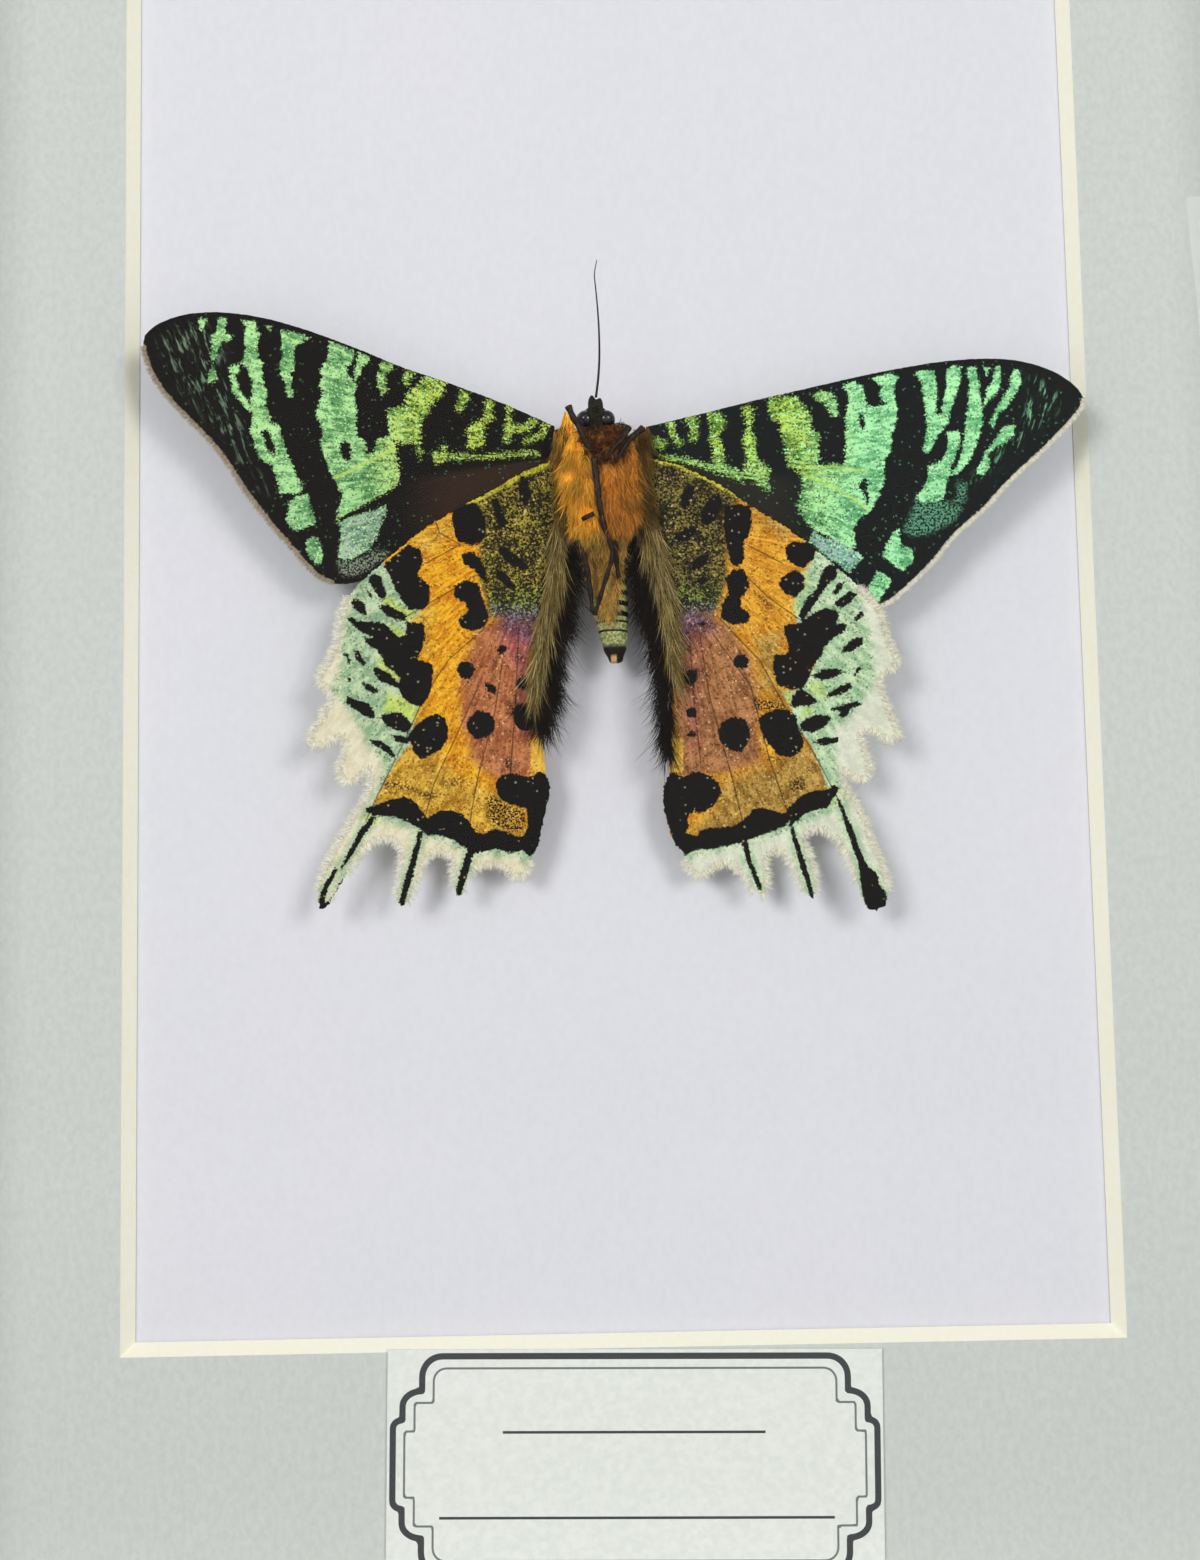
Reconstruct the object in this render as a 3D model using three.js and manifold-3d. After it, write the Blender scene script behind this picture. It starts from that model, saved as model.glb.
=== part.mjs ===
// A sunset moth, underside up, fixed in a small box frame with a bevelled mat and a blank label.
// Millimetres. X to the right, Z up, and the front of the frame faces -Y.
// The origin is under the middle of the frame, on the surface that it stands on.
import * as THREE from 'three';
import * as BufferGeometryUtils from 'three/addons/utils/BufferGeometryUtils.js';
import Module from 'manifold-3d';

const wasm = await Module();
wasm.setup();

// Frame: mitred moulding round a 150 x 200 sheet
const SHEET_WIDTH = 150;
const SHEET_HEIGHT = 200;
const WALL = 10;
const LIP = 5;
const LIP_THICKNESS = 5;
const RAIL_DEPTH = 35;
const RAIL_ROUND = 1.6;
const FRAME_WIDTH = SHEET_WIDTH + 2 * WALL;
const FRAME_HEIGHT = SHEET_HEIGHT + 2 * WALL;

// Stack behind the lip, from the front
const GLASS_THICKNESS = 2;
const SPACER_DEPTH = 11;
const SPACER_WIDTH = 4.5;
const MAT_THICKNESS = 1.2;
const BOARD_THICKNESS = 3;
const PANEL_THICKNESS = 3;
const FIT_GAP = 0.3;
const STACK_GAP = 0.1;
const MITRE_GAP = 0.05;

// Opening in the mat, at the board and at the mat's face
const OPENING_WIDTH = 94;
const OPENING_HEIGHT = 144;
const BEVEL = MAT_THICKNESS;

// Label on the mat, a little askew
const LABEL_WIDTH = 47.2;
const LABEL_HEIGHT = 21.3;
const LABEL_THICKNESS = 0.25;
const LABEL_CENTRE_X = 1.0;
const LABEL_TOP_DROP = 0.1;
const LABEL_TURN_DEG = -1.0;

// Hardware on the back
const HANGER_WIDTH = 45;
const HANGER_HEIGHT = 9;
const HANGER_THICKNESS = 0.8;
const HANGER_TEETH = 11;
const HANGER_SHOULDER = 7;
const TOOTH_HEIGHT = 2;
const NAIL_SPREAD = 19.5;
const NAIL_HEAD_RADIUS = 1.8;
const NAIL_HEAD_HEIGHT = 0.6;
const POINT_WIDTH = 9;
const POINT_LENGTH = 14;
const POINT_THICKNESS = 0.5;
const POINT_TAPER = 0.55;
const POINT_PLACE_Z = 50;

// Places along Y, counted from the front face of the lip
const HARDWARE_DEPTH = STACK_GAP + HANGER_THICKNESS + NAIL_HEAD_HEIGHT;
const FRONT = -(RAIL_DEPTH + HARDWARE_DEPTH) / 2;
const REAR = FRONT + RAIL_DEPTH;
const GLASS_FRONT = FRONT + LIP_THICKNESS + STACK_GAP;
const SPACER_FRONT = GLASS_FRONT + GLASS_THICKNESS + STACK_GAP;
const MAT_FRONT = SPACER_FRONT + SPACER_DEPTH + STACK_GAP;
const BOARD_FRONT = MAT_FRONT + MAT_THICKNESS + STACK_GAP;
const PANEL_FRONT = BOARD_FRONT + BOARD_THICKNESS + STACK_GAP;
const MIDDLE_Z = FRAME_HEIGHT / 2;

// Moth: heights are counted from the board towards the glass
const WING_THICKNESS = 0.35;
const OUTLINE_STEP = 1.0;
const FOREWING_ROOT_HEIGHT = 2.8;
const WING_RISE = 0.065;
const HINDWING_CLEARANCE = 0.35;
const HINDWING_DROOP = 0.04;
const HINDWING_LEVEL_Z = -3;
// Round parts of the body: x, z and height of the middle, then half sizes along x, z and height
const THORAX = [-0.7, 9.8, 4.25, 4.2, 7.0, 3.9];
const HEAD = [-1.15, 16.5, 5.4, 1.4, 1.4, 1.4];
const EYE_LEFT = [-2.15, 16.4, 5.9, 0.9, 0.9, 0.9];
const EYE_RIGHT = [-0.15, 16.4, 5.9, 0.9, 0.9, 0.9];
const PALP_LEFT = [-1.5, 17.7, 6.4, 0.4, 1.0, 0.42];
const PALP_RIGHT = [-0.75, 17.5, 6.4, 0.36, 0.95, 0.42];
const ROUND_PARTS = [THORAX, HEAD, EYE_LEFT, EYE_RIGHT, PALP_LEFT, PALP_RIGHT];
const ABDOMEN_TOP = { x: -0.6, z: 6.0 };
const ABDOMEN_TIP = { x: 0.45, z: -7.3 };
const ABDOMEN_HEIGHT = 3.2;
const ABDOMEN_RADIUS = 1.85;
const ABDOMEN_RINGS = 7;
const LEG_RADIUS = 0.27;
const LEG_CLEARANCE = 0.32;
const ANTENNA_RADIUS = 0.13;

const finish = (color, roughness, metalness = 0) => new THREE.MeshStandardMaterial({ color, roughness, metalness });
const darkWood = finish(0x2e211a, 0.5);
const clearGlass = finish(0xe8f1f0, 0.05);
const whiteFoam = finish(0xd9d8d2, 0.9);
const greyMat = finish(0xc4c8c3, 0.9);
const paleBoard = finish(0xdcdce6, 0.85);
const labelCard = finish(0xe2e5dc, 0.8);
const hardboard = finish(0x7a5a3c, 0.85);
const zincSteel = finish(0xb0b2b4, 0.35, 1);
const brassPlate = finish(0xb08d4a, 0.35, 1);
const orangeFur = finish(0xc9801f, 0.9);
const greenScales = finish(0x3f7f56, 0.5, 0.3);
const goldScales = finish(0xb5762a, 0.5, 0.3);
const darkChitin = finish(0x2b211b, 0.6);

const model = new THREE.Group();

function addMesh(name, geometry, material, parent = model) {
  const mesh = new THREE.Mesh(geometry, material);
  mesh.name = name;
  parent.add(mesh);
  return mesh;
}

function addBox(name, [width, depth, height], [x, y, z], material) {
  const mesh = addMesh(name, new THREE.BoxGeometry(width, depth, height), material);
  mesh.position.set(x, y, z);
  return mesh;
}

function toSolid(geometry) {
  const bare = geometry.index ? geometry.toNonIndexed() : geometry.clone();
  bare.deleteAttribute('normal');
  bare.deleteAttribute('uv');
  const merged = BufferGeometryUtils.mergeVertices(bare, 1e-4);
  return new wasm.Manifold(new wasm.Mesh({
    numProp: 3,
    vertProperties: merged.attributes.position.array,
    triVerts: new Uint32Array(merged.index.array),
  }));
}

function toGeometry(solid) {
  const mesh = solid.getMesh();
  const geometry = new THREE.BufferGeometry();
  geometry.setAttribute('position', new THREE.BufferAttribute(mesh.vertProperties, 3));
  geometry.setIndex(new THREE.BufferAttribute(mesh.triVerts, 1));
  return geometry;
}

const fuse = (geometries) => toGeometry(geometries.map(toSolid).reduce((whole, piece) => whole.add(piece)));

// Closed strip of quads between two rings of the same number of points, with both ends capped
function ringSolid(ringA, ringB, capTriangles) {
  const count = ringA.length;
  const positions = [...ringA, ...ringB].flatMap((p) => [p.x, p.y, p.z]);
  const index = [];
  for (let i = 0; i < count; i += 1) {
    const j = (i + 1) % count;
    index.push(i, j, count + j, i, count + j, count + i);
  }
  for (const [a, b, c] of capTriangles) {
    index.push(c, b, a, count + a, count + b, count + c);
  }
  const geometry = new THREE.BufferGeometry();
  geometry.setAttribute('position', new THREE.Float32BufferAttribute(positions, 3));
  geometry.setIndex(index);
  return geometry;
}

// Section of the moulding: x is inward from the outer edge, y runs from front to back
function railSection() {
  const section = new THREE.Path();
  section.moveTo(0, REAR);
  section.lineTo(0, FRONT + RAIL_ROUND);
  section.absarc(RAIL_ROUND, FRONT + RAIL_ROUND, RAIL_ROUND, Math.PI, 1.5 * Math.PI, false);
  section.lineTo(WALL, FRONT);
  section.quadraticCurveTo(WALL + LIP - 1, FRONT + 0.3, WALL + LIP, FRONT + 2);
  section.lineTo(WALL + LIP, FRONT + LIP_THICKNESS);
  section.lineTo(WALL, FRONT + LIP_THICKNESS);
  section.lineTo(WALL, REAR);
  return section.getPoints(6);
}

function mitredRail(length) {
  const section = railSection();
  const caps = THREE.ShapeUtils.triangulateShape(section, []);
  const end = (side) => section.map((p) => new THREE.Vector3(side * (length / 2 - p.x - MITRE_GAP), p.y, -p.x));
  return ringSolid(end(-1), end(1), caps);
}

function addRails() {
  const sides = [
    ['frame_rail_top', FRAME_WIDTH, 0, 0, FRAME_HEIGHT / 2],
    ['frame_rail_right', FRAME_HEIGHT, 90, FRAME_WIDTH / 2, 0],
    ['frame_rail_bottom', FRAME_WIDTH, 180, 0, -FRAME_HEIGHT / 2],
    ['frame_rail_left', FRAME_HEIGHT, 270, -FRAME_WIDTH / 2, 0],
  ];
  for (const [name, length, turn, x, z] of sides) {
    const rail = addMesh(name, mitredRail(length), darkWood);
    rail.rotation.y = THREE.MathUtils.degToRad(turn);
    rail.position.set(x, 0, MIDDLE_Z + z);
  }
}

function addSheets() {
  const width = SHEET_WIDTH - 2 * FIT_GAP;
  const height = SHEET_HEIGHT - 2 * FIT_GAP;
  const layers = [
    ['glass', GLASS_THICKNESS, GLASS_FRONT, clearGlass],
    ['backing_board', BOARD_THICKNESS, BOARD_FRONT, paleBoard],
    ['back_panel', PANEL_THICKNESS, PANEL_FRONT, hardboard],
  ];
  for (const [name, thickness, front, material] of layers) {
    addBox(name, [width, thickness, height], [0, front + thickness / 2, MIDDLE_Z], material);
  }
}

function addSpacers() {
  const y = SPACER_FRONT + SPACER_DEPTH / 2;
  const x = SHEET_WIDTH / 2 - FIT_GAP - SPACER_WIDTH / 2;
  const z = SHEET_HEIGHT / 2 - FIT_GAP - SPACER_WIDTH / 2;
  const across = 2 * x + SPACER_WIDTH;
  const upright = 2 * z - SPACER_WIDTH - 2 * STACK_GAP;
  addBox('spacer_top', [across, SPACER_DEPTH, SPACER_WIDTH], [0, y, MIDDLE_Z + z], whiteFoam);
  addBox('spacer_bottom', [across, SPACER_DEPTH, SPACER_WIDTH], [0, y, MIDDLE_Z - z], whiteFoam);
  addBox('spacer_left', [SPACER_WIDTH, SPACER_DEPTH, upright], [-x, y, MIDDLE_Z], whiteFoam);
  addBox('spacer_right', [SPACER_WIDTH, SPACER_DEPTH, upright], [x, y, MIDDLE_Z], whiteFoam);
}

// Rectangle of corners in a plane parallel to the board
function corners(width, height, y) {
  const x = width / 2;
  const z = height / 2;
  return [[-x, -z], [x, -z], [x, z], [-x, z]].map(([cx, cz]) => new THREE.Vector3(cx, y, MIDDLE_Z + cz));
}

// The mat is a loop of four sides: outer front, outer back, opening at the back, opening at the face
function matGeometry() {
  const back = MAT_FRONT + MAT_THICKNESS;
  const width = SHEET_WIDTH - 2 * FIT_GAP;
  const height = SHEET_HEIGHT - 2 * FIT_GAP;
  const loops = [
    corners(width, height, MAT_FRONT),
    corners(width, height, back),
    corners(OPENING_WIDTH, OPENING_HEIGHT, back),
    corners(OPENING_WIDTH + 2 * BEVEL, OPENING_HEIGHT + 2 * BEVEL, MAT_FRONT),
  ];
  const positions = loops.flat().flatMap((p) => [p.x, p.y, p.z]);
  const index = [];
  for (let loop = 0; loop < 4; loop += 1) {
    const next = (loop + 1) % 4;
    for (let i = 0; i < 4; i += 1) {
      const j = (i + 1) % 4;
      const [a, b, c, d] = [4 * loop + i, 4 * loop + j, 4 * next + j, 4 * next + i];
      index.push(a, c, b, a, d, c);
    }
  }
  const geometry = new THREE.BufferGeometry();
  geometry.setAttribute('position', new THREE.Float32BufferAttribute(positions, 3));
  geometry.setIndex(index);
  return geometry;
}

function addLabel() {
  const turn = new THREE.Group();
  const top = MIDDLE_Z - OPENING_HEIGHT / 2 - BEVEL - LABEL_TOP_DROP;
  turn.position.set(LABEL_CENTRE_X, MAT_FRONT - STACK_GAP - LABEL_THICKNESS / 2, top);
  turn.rotation.y = THREE.MathUtils.degToRad(-LABEL_TURN_DEG);
  const card = addMesh('label', new THREE.BoxGeometry(LABEL_WIDTH, LABEL_THICKNESS, LABEL_HEIGHT), labelCard, turn);
  card.position.z = -LABEL_HEIGHT / 2;
  model.add(turn);
}

function hangerGeometry() {
  const half = HANGER_WIDTH / 2;
  const firstTooth = -half + HANGER_SHOULDER;
  const pitch = -2 * firstTooth / HANGER_TEETH;
  const plate = new THREE.Shape();
  plate.moveTo(-half, HANGER_HEIGHT);
  plate.lineTo(-half, TOOTH_HEIGHT);
  plate.lineTo(firstTooth, 0);
  for (let tooth = 0; tooth < HANGER_TEETH; tooth += 1) {
    plate.lineTo(firstTooth + (tooth + 0.5) * pitch, TOOTH_HEIGHT);
    plate.lineTo(firstTooth + (tooth + 1) * pitch, 0);
  }
  plate.lineTo(half, TOOTH_HEIGHT);
  plate.lineTo(half, HANGER_HEIGHT);
  return new THREE.ExtrudeGeometry(plate, { depth: HANGER_THICKNESS, bevelEnabled: false });
}

function addHanger() {
  const z = FRAME_HEIGHT - WALL / 2 - HANGER_HEIGHT / 2;
  const hanger = addMesh('sawtooth_hanger', hangerGeometry(), brassPlate);
  hanger.rotation.x = Math.PI / 2;
  hanger.position.set(0, REAR + STACK_GAP + HANGER_THICKNESS, z);
  for (const [side, name] of [[-1, 'hanger_nail_left'], [1, 'hanger_nail_right']]) {
    const dome = new THREE.LatheGeometry([
      new THREE.Vector2(0, 0),
      new THREE.Vector2(NAIL_HEAD_RADIUS, 0),
      new THREE.Vector2(NAIL_HEAD_RADIUS * 0.8, NAIL_HEAD_HEIGHT * 0.7),
      new THREE.Vector2(0, NAIL_HEAD_HEIGHT),
    ], 16);
    const nail = addMesh(name, dome, brassPlate);
    nail.position.set(side * NAIL_SPREAD, REAR + STACK_GAP + HANGER_THICKNESS, z + HANGER_HEIGHT * 0.62);
  }
}

// Thin steel points lie on the back panel and hold it in the rebate
function addPanelPoints() {
  const y = PANEL_FRONT + PANEL_THICKNESS + STACK_GAP + POINT_THICKNESS / 2;
  const edgeX = SHEET_WIDTH / 2 - POINT_LENGTH / 2 - STACK_GAP;
  const edgeZ = SHEET_HEIGHT / 2 - POINT_LENGTH / 2 - STACK_GAP;
  const places = [
    ['panel_point_top', 0, edgeZ, false],
    ['panel_point_bottom', 0, -edgeZ, false],
    ['panel_point_left_upper', -edgeX, POINT_PLACE_Z, true],
    ['panel_point_left_lower', -edgeX, -POINT_PLACE_Z, true],
    ['panel_point_right_upper', edgeX, POINT_PLACE_Z, true],
    ['panel_point_right_lower', edgeX, -POINT_PLACE_Z, true],
  ];
  const half = POINT_WIDTH / 2;
  const blade = new THREE.Shape();
  blade.moveTo(-half * POINT_TAPER, -POINT_LENGTH / 2);
  blade.lineTo(half * POINT_TAPER, -POINT_LENGTH / 2);
  blade.lineTo(half, POINT_LENGTH / 2);
  blade.lineTo(-half, POINT_LENGTH / 2);
  for (const [name, x, z, sideways] of places) {
    const geometry = new THREE.ExtrudeGeometry(blade, { depth: POINT_THICKNESS, bevelEnabled: false });
    geometry.translate(0, 0, -POINT_THICKNESS / 2);
    const outward = sideways ? Math.sign(x) * 90 : (z > 0 ? 0 : 180);
    geometry.rotateZ(THREE.MathUtils.degToRad(-outward));
    geometry.rotateX(Math.PI / 2);
    const point = addMesh(name, geometry, zincSteel);
    point.position.set(x, y, MIDDLE_Z + z);
  }
}

// Outlines of the wings, seen from the front, x to the right and z up from the middle of the opening.
// A stretch is drawn as a smooth curve through its points, and a corner lies where two stretches meet.
const FOREWING_LEFT = [
  [[-5.2, 16.5], [-10, 18.7], [-15, 20.65], [-20, 22.4], [-25, 24.5], [-30, 26.35], [-34, 27.45], [-38, 27.95],
    [-41, 27.75], [-43.4, 27], [-44.9, 25.95], [-45.4, 24.8], [-45.1, 23.1], [-44.2, 21], [-42.6, 18.8],
    [-40.4, 16.5], [-38, 13.8], [-35.8, 10.4], [-33.5, 7.2], [-30.8, 4], [-28.6, 1.5], [-26.6, 0.7], [-24.8, 0.9]],
  [[-24.8, 0.9], [-20, 2.6], [-12, 6], [-5.2, 9]],
];
const FOREWING_RIGHT = [
  [[3.8, 16.3], [10, 17.6], [15, 18.7], [20, 19.7], [25, 20.7], [30, 21.5], [34, 21.95], [38, 22],
    [41, 21.55], [43.8, 20.5], [45.8, 19.05], [46.75, 17.6], [46.3, 16.4], [44.7, 14.6], [42, 12], [39, 9.3],
    [36.5, 6.7], [33.8, 4.4], [31.7, 1.9], [29.3, -0.4], [27.9, -1.6], [26.4, -2.6]],
  [[26.4, -2.6], [24.6, -1.8], [14, 3.6], [3.8, 8.8]],
];
const HINDWING_LEFT = [
  [[-5.2, 12.9], [-8.8, 11.4], [-11.5, 9.75], [-14.3, 8.3], [-17, 6.75], [-19.7, 4.8], [-22.2, 2.7],
    [-24.8, 0.3], [-26, -1.7], [-26.6, -3.8], [-27, -5.8], [-28, -7.6], [-28.6, -8.7]],
  [[-28.6, -8.7], [-28, -9.5], [-27.3, -10.3]],
  [[-27.3, -10.3], [-27.8, -11.7], [-29.3, -13.9], [-29.4, -14.9], [-28.7, -15.3], [-27.4, -14.9], [-26.2, -14.3]],
  [[-26.2, -14.3], [-26, -15.4], [-26.7, -17.5], [-26.4, -18.7], [-25.4, -18.9], [-24.5, -18.3], [-23.6, -17.4]],
  [[-23.6, -17.4], [-23.8, -19.5], [-25.3, -22], [-27.2, -25.2], [-28.4, -27.8], [-28.8, -30], [-28.4, -31.2],
    [-27.8, -30.8], [-27, -29.5], [-26.1, -28], [-24.6, -25.8], [-23, -24.4], [-21.6, -24.4], [-20.8, -25.3]],
  [[-20.8, -25.3], [-20.8, -27], [-21.1, -28.7], [-21.2, -30.4], [-20.6, -30.9], [-19.8, -30.2], [-19.3, -28.7],
    [-18.6, -27.1], [-17.8, -25.9], [-16.9, -25.6], [-16.1, -26]],
  [[-16.1, -26], [-15.8, -27.2], [-15.8, -29], [-15.3, -30.1], [-14.6, -29.6], [-14.1, -28], [-13.2, -27.1],
    [-11.8, -26.9], [-10.7, -27.3], [-10, -28.2], [-9.2, -28.4], [-8.4, -27.6], [-8.1, -26.5]],
  [[-8.1, -26.5], [-7.4, -25.2], [-7, -23.4], [-6.4, -21], [-6.1, -19.3], [-6.5, -18.2]],
  [[-6.5, -18.2], [-6.8, -14], [-6.6, -9], [-6.2, -4], [-5.7, 1], [-5.2, 6]],
];
const HINDWING_RIGHT = [
  [[3.8, 12.9], [6.8, 12.1], [9.8, 10.65], [12.1, 9.2], [13.9, 7.8], [16.2, 6.3], [18, 5.05], [19.8, 3.6],
    [21.5, 2.1], [23.6, 0.1], [25.2, -1.5], [26.3, -3.2], [26.8, -5], [27.1, -6.3], [28, -8]],
  [[28, -8], [27.2, -8.8], [25.9, -9.6]],
  [[25.9, -9.6], [26.3, -11], [26.8, -12.5], [27.7, -14.9], [27.3, -15.8], [26.3, -15.6], [25, -14.8], [24, -14.7]],
  [[24, -14.7], [24.3, -16], [24.9, -17.8], [24.8, -19.1], [23.8, -19.6], [22.8, -18.9], [21.9, -18.3]],
  [[21.9, -18.3], [22.3, -19.6], [23.7, -22], [25, -25.4], [25.9, -27.8], [26.3, -30], [26, -31.5], [25, -32.1],
    [24, -31.7], [23.4, -30], [22.7, -28], [22, -26.3], [21.1, -24.8], [20, -24.2], [18.8, -24.2], [18.2, -25]],
  [[18.2, -25], [19, -26.5], [19.4, -28.5], [19.4, -30.3], [18.8, -30.9], [18, -29.8], [17.2, -28], [16.4, -26.6],
    [15.6, -26], [14.8, -26.4]],
  [[14.8, -26.4], [14.7, -27.8], [14.7, -29.6], [14.1, -30.5], [12.9, -29.5], [12, -28.1], [11.2, -27.3],
    [10.2, -27.2], [9.4, -27.8], [8.5, -28.4], [7.4, -28.2], [6.7, -27.1], [6.5, -26]],
  [[6.5, -26], [5.7, -25.1], [5.1, -23.4], [4.7, -21.4], [4.7, -19.6], [5.2, -18.5]],
  [[5.2, -18.5], [5.4, -15], [5.5, -10], [5.2, -5], [4.8, 0], [4.3, 4], [3.8, 7]],
];

// Splits each curve into pieces of about one millimetre
function outlineShape(stretches) {
  const points = [];
  for (const stretch of stretches) {
    const curve = new THREE.SplineCurve(stretch.map(([x, z]) => new THREE.Vector2(x, z)));
    const steps = Math.max(stretch.length - 1, Math.round(curve.getLength() / OUTLINE_STEP));
    points.push(...curve.getSpacedPoints(steps).slice(0, -1));
  }
  const [lastX, lastZ] = stretches.at(-1).at(-1);
  points.push(new THREE.Vector2(lastX, lastZ));
  return new THREE.Shape(points);
}

// A thin blade that leans: its height over the board is rootHeight + rise * x + droop * z
function bladeGeometry(stretches, rootHeight, rise, droop) {
  const blade = new THREE.ExtrudeGeometry(outlineShape(stretches), { depth: WING_THICKNESS, bevelEnabled: false });
  const lean = new THREE.Matrix4().set(
    1, 0, 0, 0,
    -rise, -droop, -1, BOARD_FRONT - rootHeight,
    0, 1, 0, MIDDLE_Z,
    0, 0, 0, 1,
  );
  return blade.applyMatrix4(lean);
}

function addWings() {
  const overForewing = FOREWING_ROOT_HEIGHT + WING_THICKNESS + HINDWING_CLEARANCE;
  const hindHeight = overForewing - HINDWING_DROOP * HINDWING_LEVEL_Z;
  for (const [side, sign, fore, hind] of [['left', -1, FOREWING_LEFT, HINDWING_LEFT],
    ['right', 1, FOREWING_RIGHT, HINDWING_RIGHT]]) {
    const rise = sign * WING_RISE;
    addMesh(`forewing_${side}`, bladeGeometry(fore, FOREWING_ROOT_HEIGHT, rise, 0), greenScales);
    addMesh(`hindwing_${side}`, bladeGeometry(hind, hindHeight, rise, HINDWING_DROOP), goldScales);
  }
}

// Turns a place on the moth into the frame's own coordinates
const onMoth = (x, z, height) => new THREE.Vector3(x, BOARD_FRONT - height, MIDDLE_Z + z);

function ellipsoid([x, z, height, halfX, halfZ, halfDepth]) {
  const segments = 10 + Math.round(2 * Math.max(halfX, halfZ));
  const ball = new THREE.SphereGeometry(1, segments, Math.round(segments * 0.7));
  ball.scale(halfX, halfDepth, halfZ);
  const centre = onMoth(x, z, height);
  return ball.translate(centre.x, centre.y, centre.z);
}

// Abdomen: rings that narrow to the tail, turned to lie along the line between its two ends
function abdomenGeometry() {
  const top = onMoth(ABDOMEN_TOP.x, ABDOMEN_TOP.z, ABDOMEN_HEIGHT);
  const tip = onMoth(ABDOMEN_TIP.x, ABDOMEN_TIP.z, ABDOMEN_HEIGHT);
  const along = tip.clone().sub(top);
  const length = along.length();
  const profile = [new THREE.Vector2(0, 0), new THREE.Vector2(ABDOMEN_RADIUS, 0)];
  for (let ring = 1; ring <= ABDOMEN_RINGS; ring += 1) {
    const s = ring / (ABDOMEN_RINGS + 0.6);
    const radius = ABDOMEN_RADIUS * Math.sqrt(1 - s ** 4);
    profile.push(new THREE.Vector2(radius, s * length));
    profile.push(new THREE.Vector2(radius * 0.93, (s + 0.012) * length));
  }
  profile.push(new THREE.Vector2(0, length));
  const body = new THREE.LatheGeometry(profile, 18);
  const turn = new THREE.Quaternion().setFromUnitVectors(new THREE.Vector3(0, 1, 0), along.clone().normalize());
  return body.applyQuaternion(turn).translate(top.x, top.y, top.z);
}

function addBody() {
  addMesh('moth_body', fuse([...ROUND_PARTS.map(ellipsoid), abdomenGeometry()]), orangeFur);
}

// Highest point of the body over the board at a place, or 0 beside the body
function bodySurface(x, z) {
  const tops = ROUND_PARTS.map(([cx, cz, height, halfX, halfZ, halfDepth]) => {
    const off = ((x - cx) / halfX) ** 2 + ((z - cz) / halfZ) ** 2;
    return off < 1 ? height + halfDepth * Math.sqrt(1 - off) : 0;
  });
  const s = (ABDOMEN_TOP.z - z) / (ABDOMEN_TOP.z - ABDOMEN_TIP.z);
  const side = x - THREE.MathUtils.lerp(ABDOMEN_TOP.x, ABDOMEN_TIP.x, s);
  const onAbdomen = s > 0 && s < 1 && Math.abs(side) < ABDOMEN_RADIUS;
  tops.push(onAbdomen ? ABDOMEN_HEIGHT + Math.sqrt(ABDOMEN_RADIUS ** 2 - side ** 2) : 0);
  return Math.max(...tops);
}

function tube(points, radius, sides, steps) {
  const circle = new THREE.Shape();
  circle.absarc(0, 0, radius, 0, 2 * Math.PI, false);
  const section = new THREE.Shape(circle.getSpacedPoints(sides).slice(0, -1));
  const path = new THREE.CatmullRomCurve3(points, false, 'centripetal');
  return new THREE.ExtrudeGeometry(section, { steps, bevelEnabled: false, extrudePath: path });
}

// Legs are folded over the body. Each point is x, z and height over the board,
// and a leg is lifted where that would bring it into the body.
const LEGS = {
  foreleg_left: [[-3.8, 17.1, 8.2], [-3.3, 15.9, 8.2], [-2.6, 14.7, 8.0], [-1.9, 13.1, 8.0], [-1.6, 12.5, 8.0]],
  foreleg_right: [[2.0, 15.1, 7.6], [1.2, 13.7, 8.0], [0.4, 12.7, 8.3], [-0.3, 11.6, 8.5]],
  midleg_left: [[-1.4, 11.8, 8.4], [-1.25, 10.3, 8.5], [-1.1, 8.6, 8.6], [-0.9, 7.0, 8.6], [-0.65, 5.5, 8.4],
    [-0.35, 4.0, 8.1], [-0.65, 2.2, 7.4], [-1.05, 0.4, 6.7], [-1.6, -1.4, 6.1], [-2.25, -3.1, 5.4]],
  midleg_right: [[3.4, 15.1, 7.2], [2.4, 14.2, 7.5], [1.8, 13.4, 7.9], [1.2, 12.4, 8.3], [0.7, 11.5, 8.5]],
  hindleg_left: [[-3.8, 4.3, 6.9], [-3.1, 2.9, 6.5], [-2.7, 1.3, 6.0], [-2.4, -0.5, 5.6]],
  hindleg_right: [[1.6, 6.4, 7.8], [1.0, 5.1, 7.6], [0.5, 3.8, 7.2], [0.6, 2.2, 6.3], [0.8, 0.7, 5.8]],
};

// The one antenna left, from the head up to its hooked end
const ANTENNA = [[-1.1, 18.2, 7.3], [-0.85, 20.0, 7.6], [-0.7, 22.0, 8.1], [-0.7, 24.4, 8.7], [-0.8, 26.4, 9.2],
  [-0.95, 28.3, 9.6], [-1.05, 29.6, 9.9], [-0.8, 30.9, 10.2]];

function addLegs() {
  for (const [name, places] of Object.entries(LEGS)) {
    const points = places.map(([x, z, height]) => {
      const clear = bodySurface(x, z) + LEG_CLEARANCE + LEG_RADIUS;
      return onMoth(x, z, Math.max(height, clear));
    });
    addMesh(name, tube(points, LEG_RADIUS, 6, 2 * points.length), darkChitin);
  }
}

function addAntenna() {
  const points = ANTENNA.map(([x, z, height]) => onMoth(x, z, height));
  addMesh('antenna', tube(points, ANTENNA_RADIUS, 6, 16), darkChitin);
}

addRails();
addSheets();
addSpacers();
addMesh('mat', matGeometry(), greyMat);
addLabel();
addHanger();
addPanelPoints();
addWings();
addBody();
addLegs();
addAntenna();

export default model;
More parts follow.
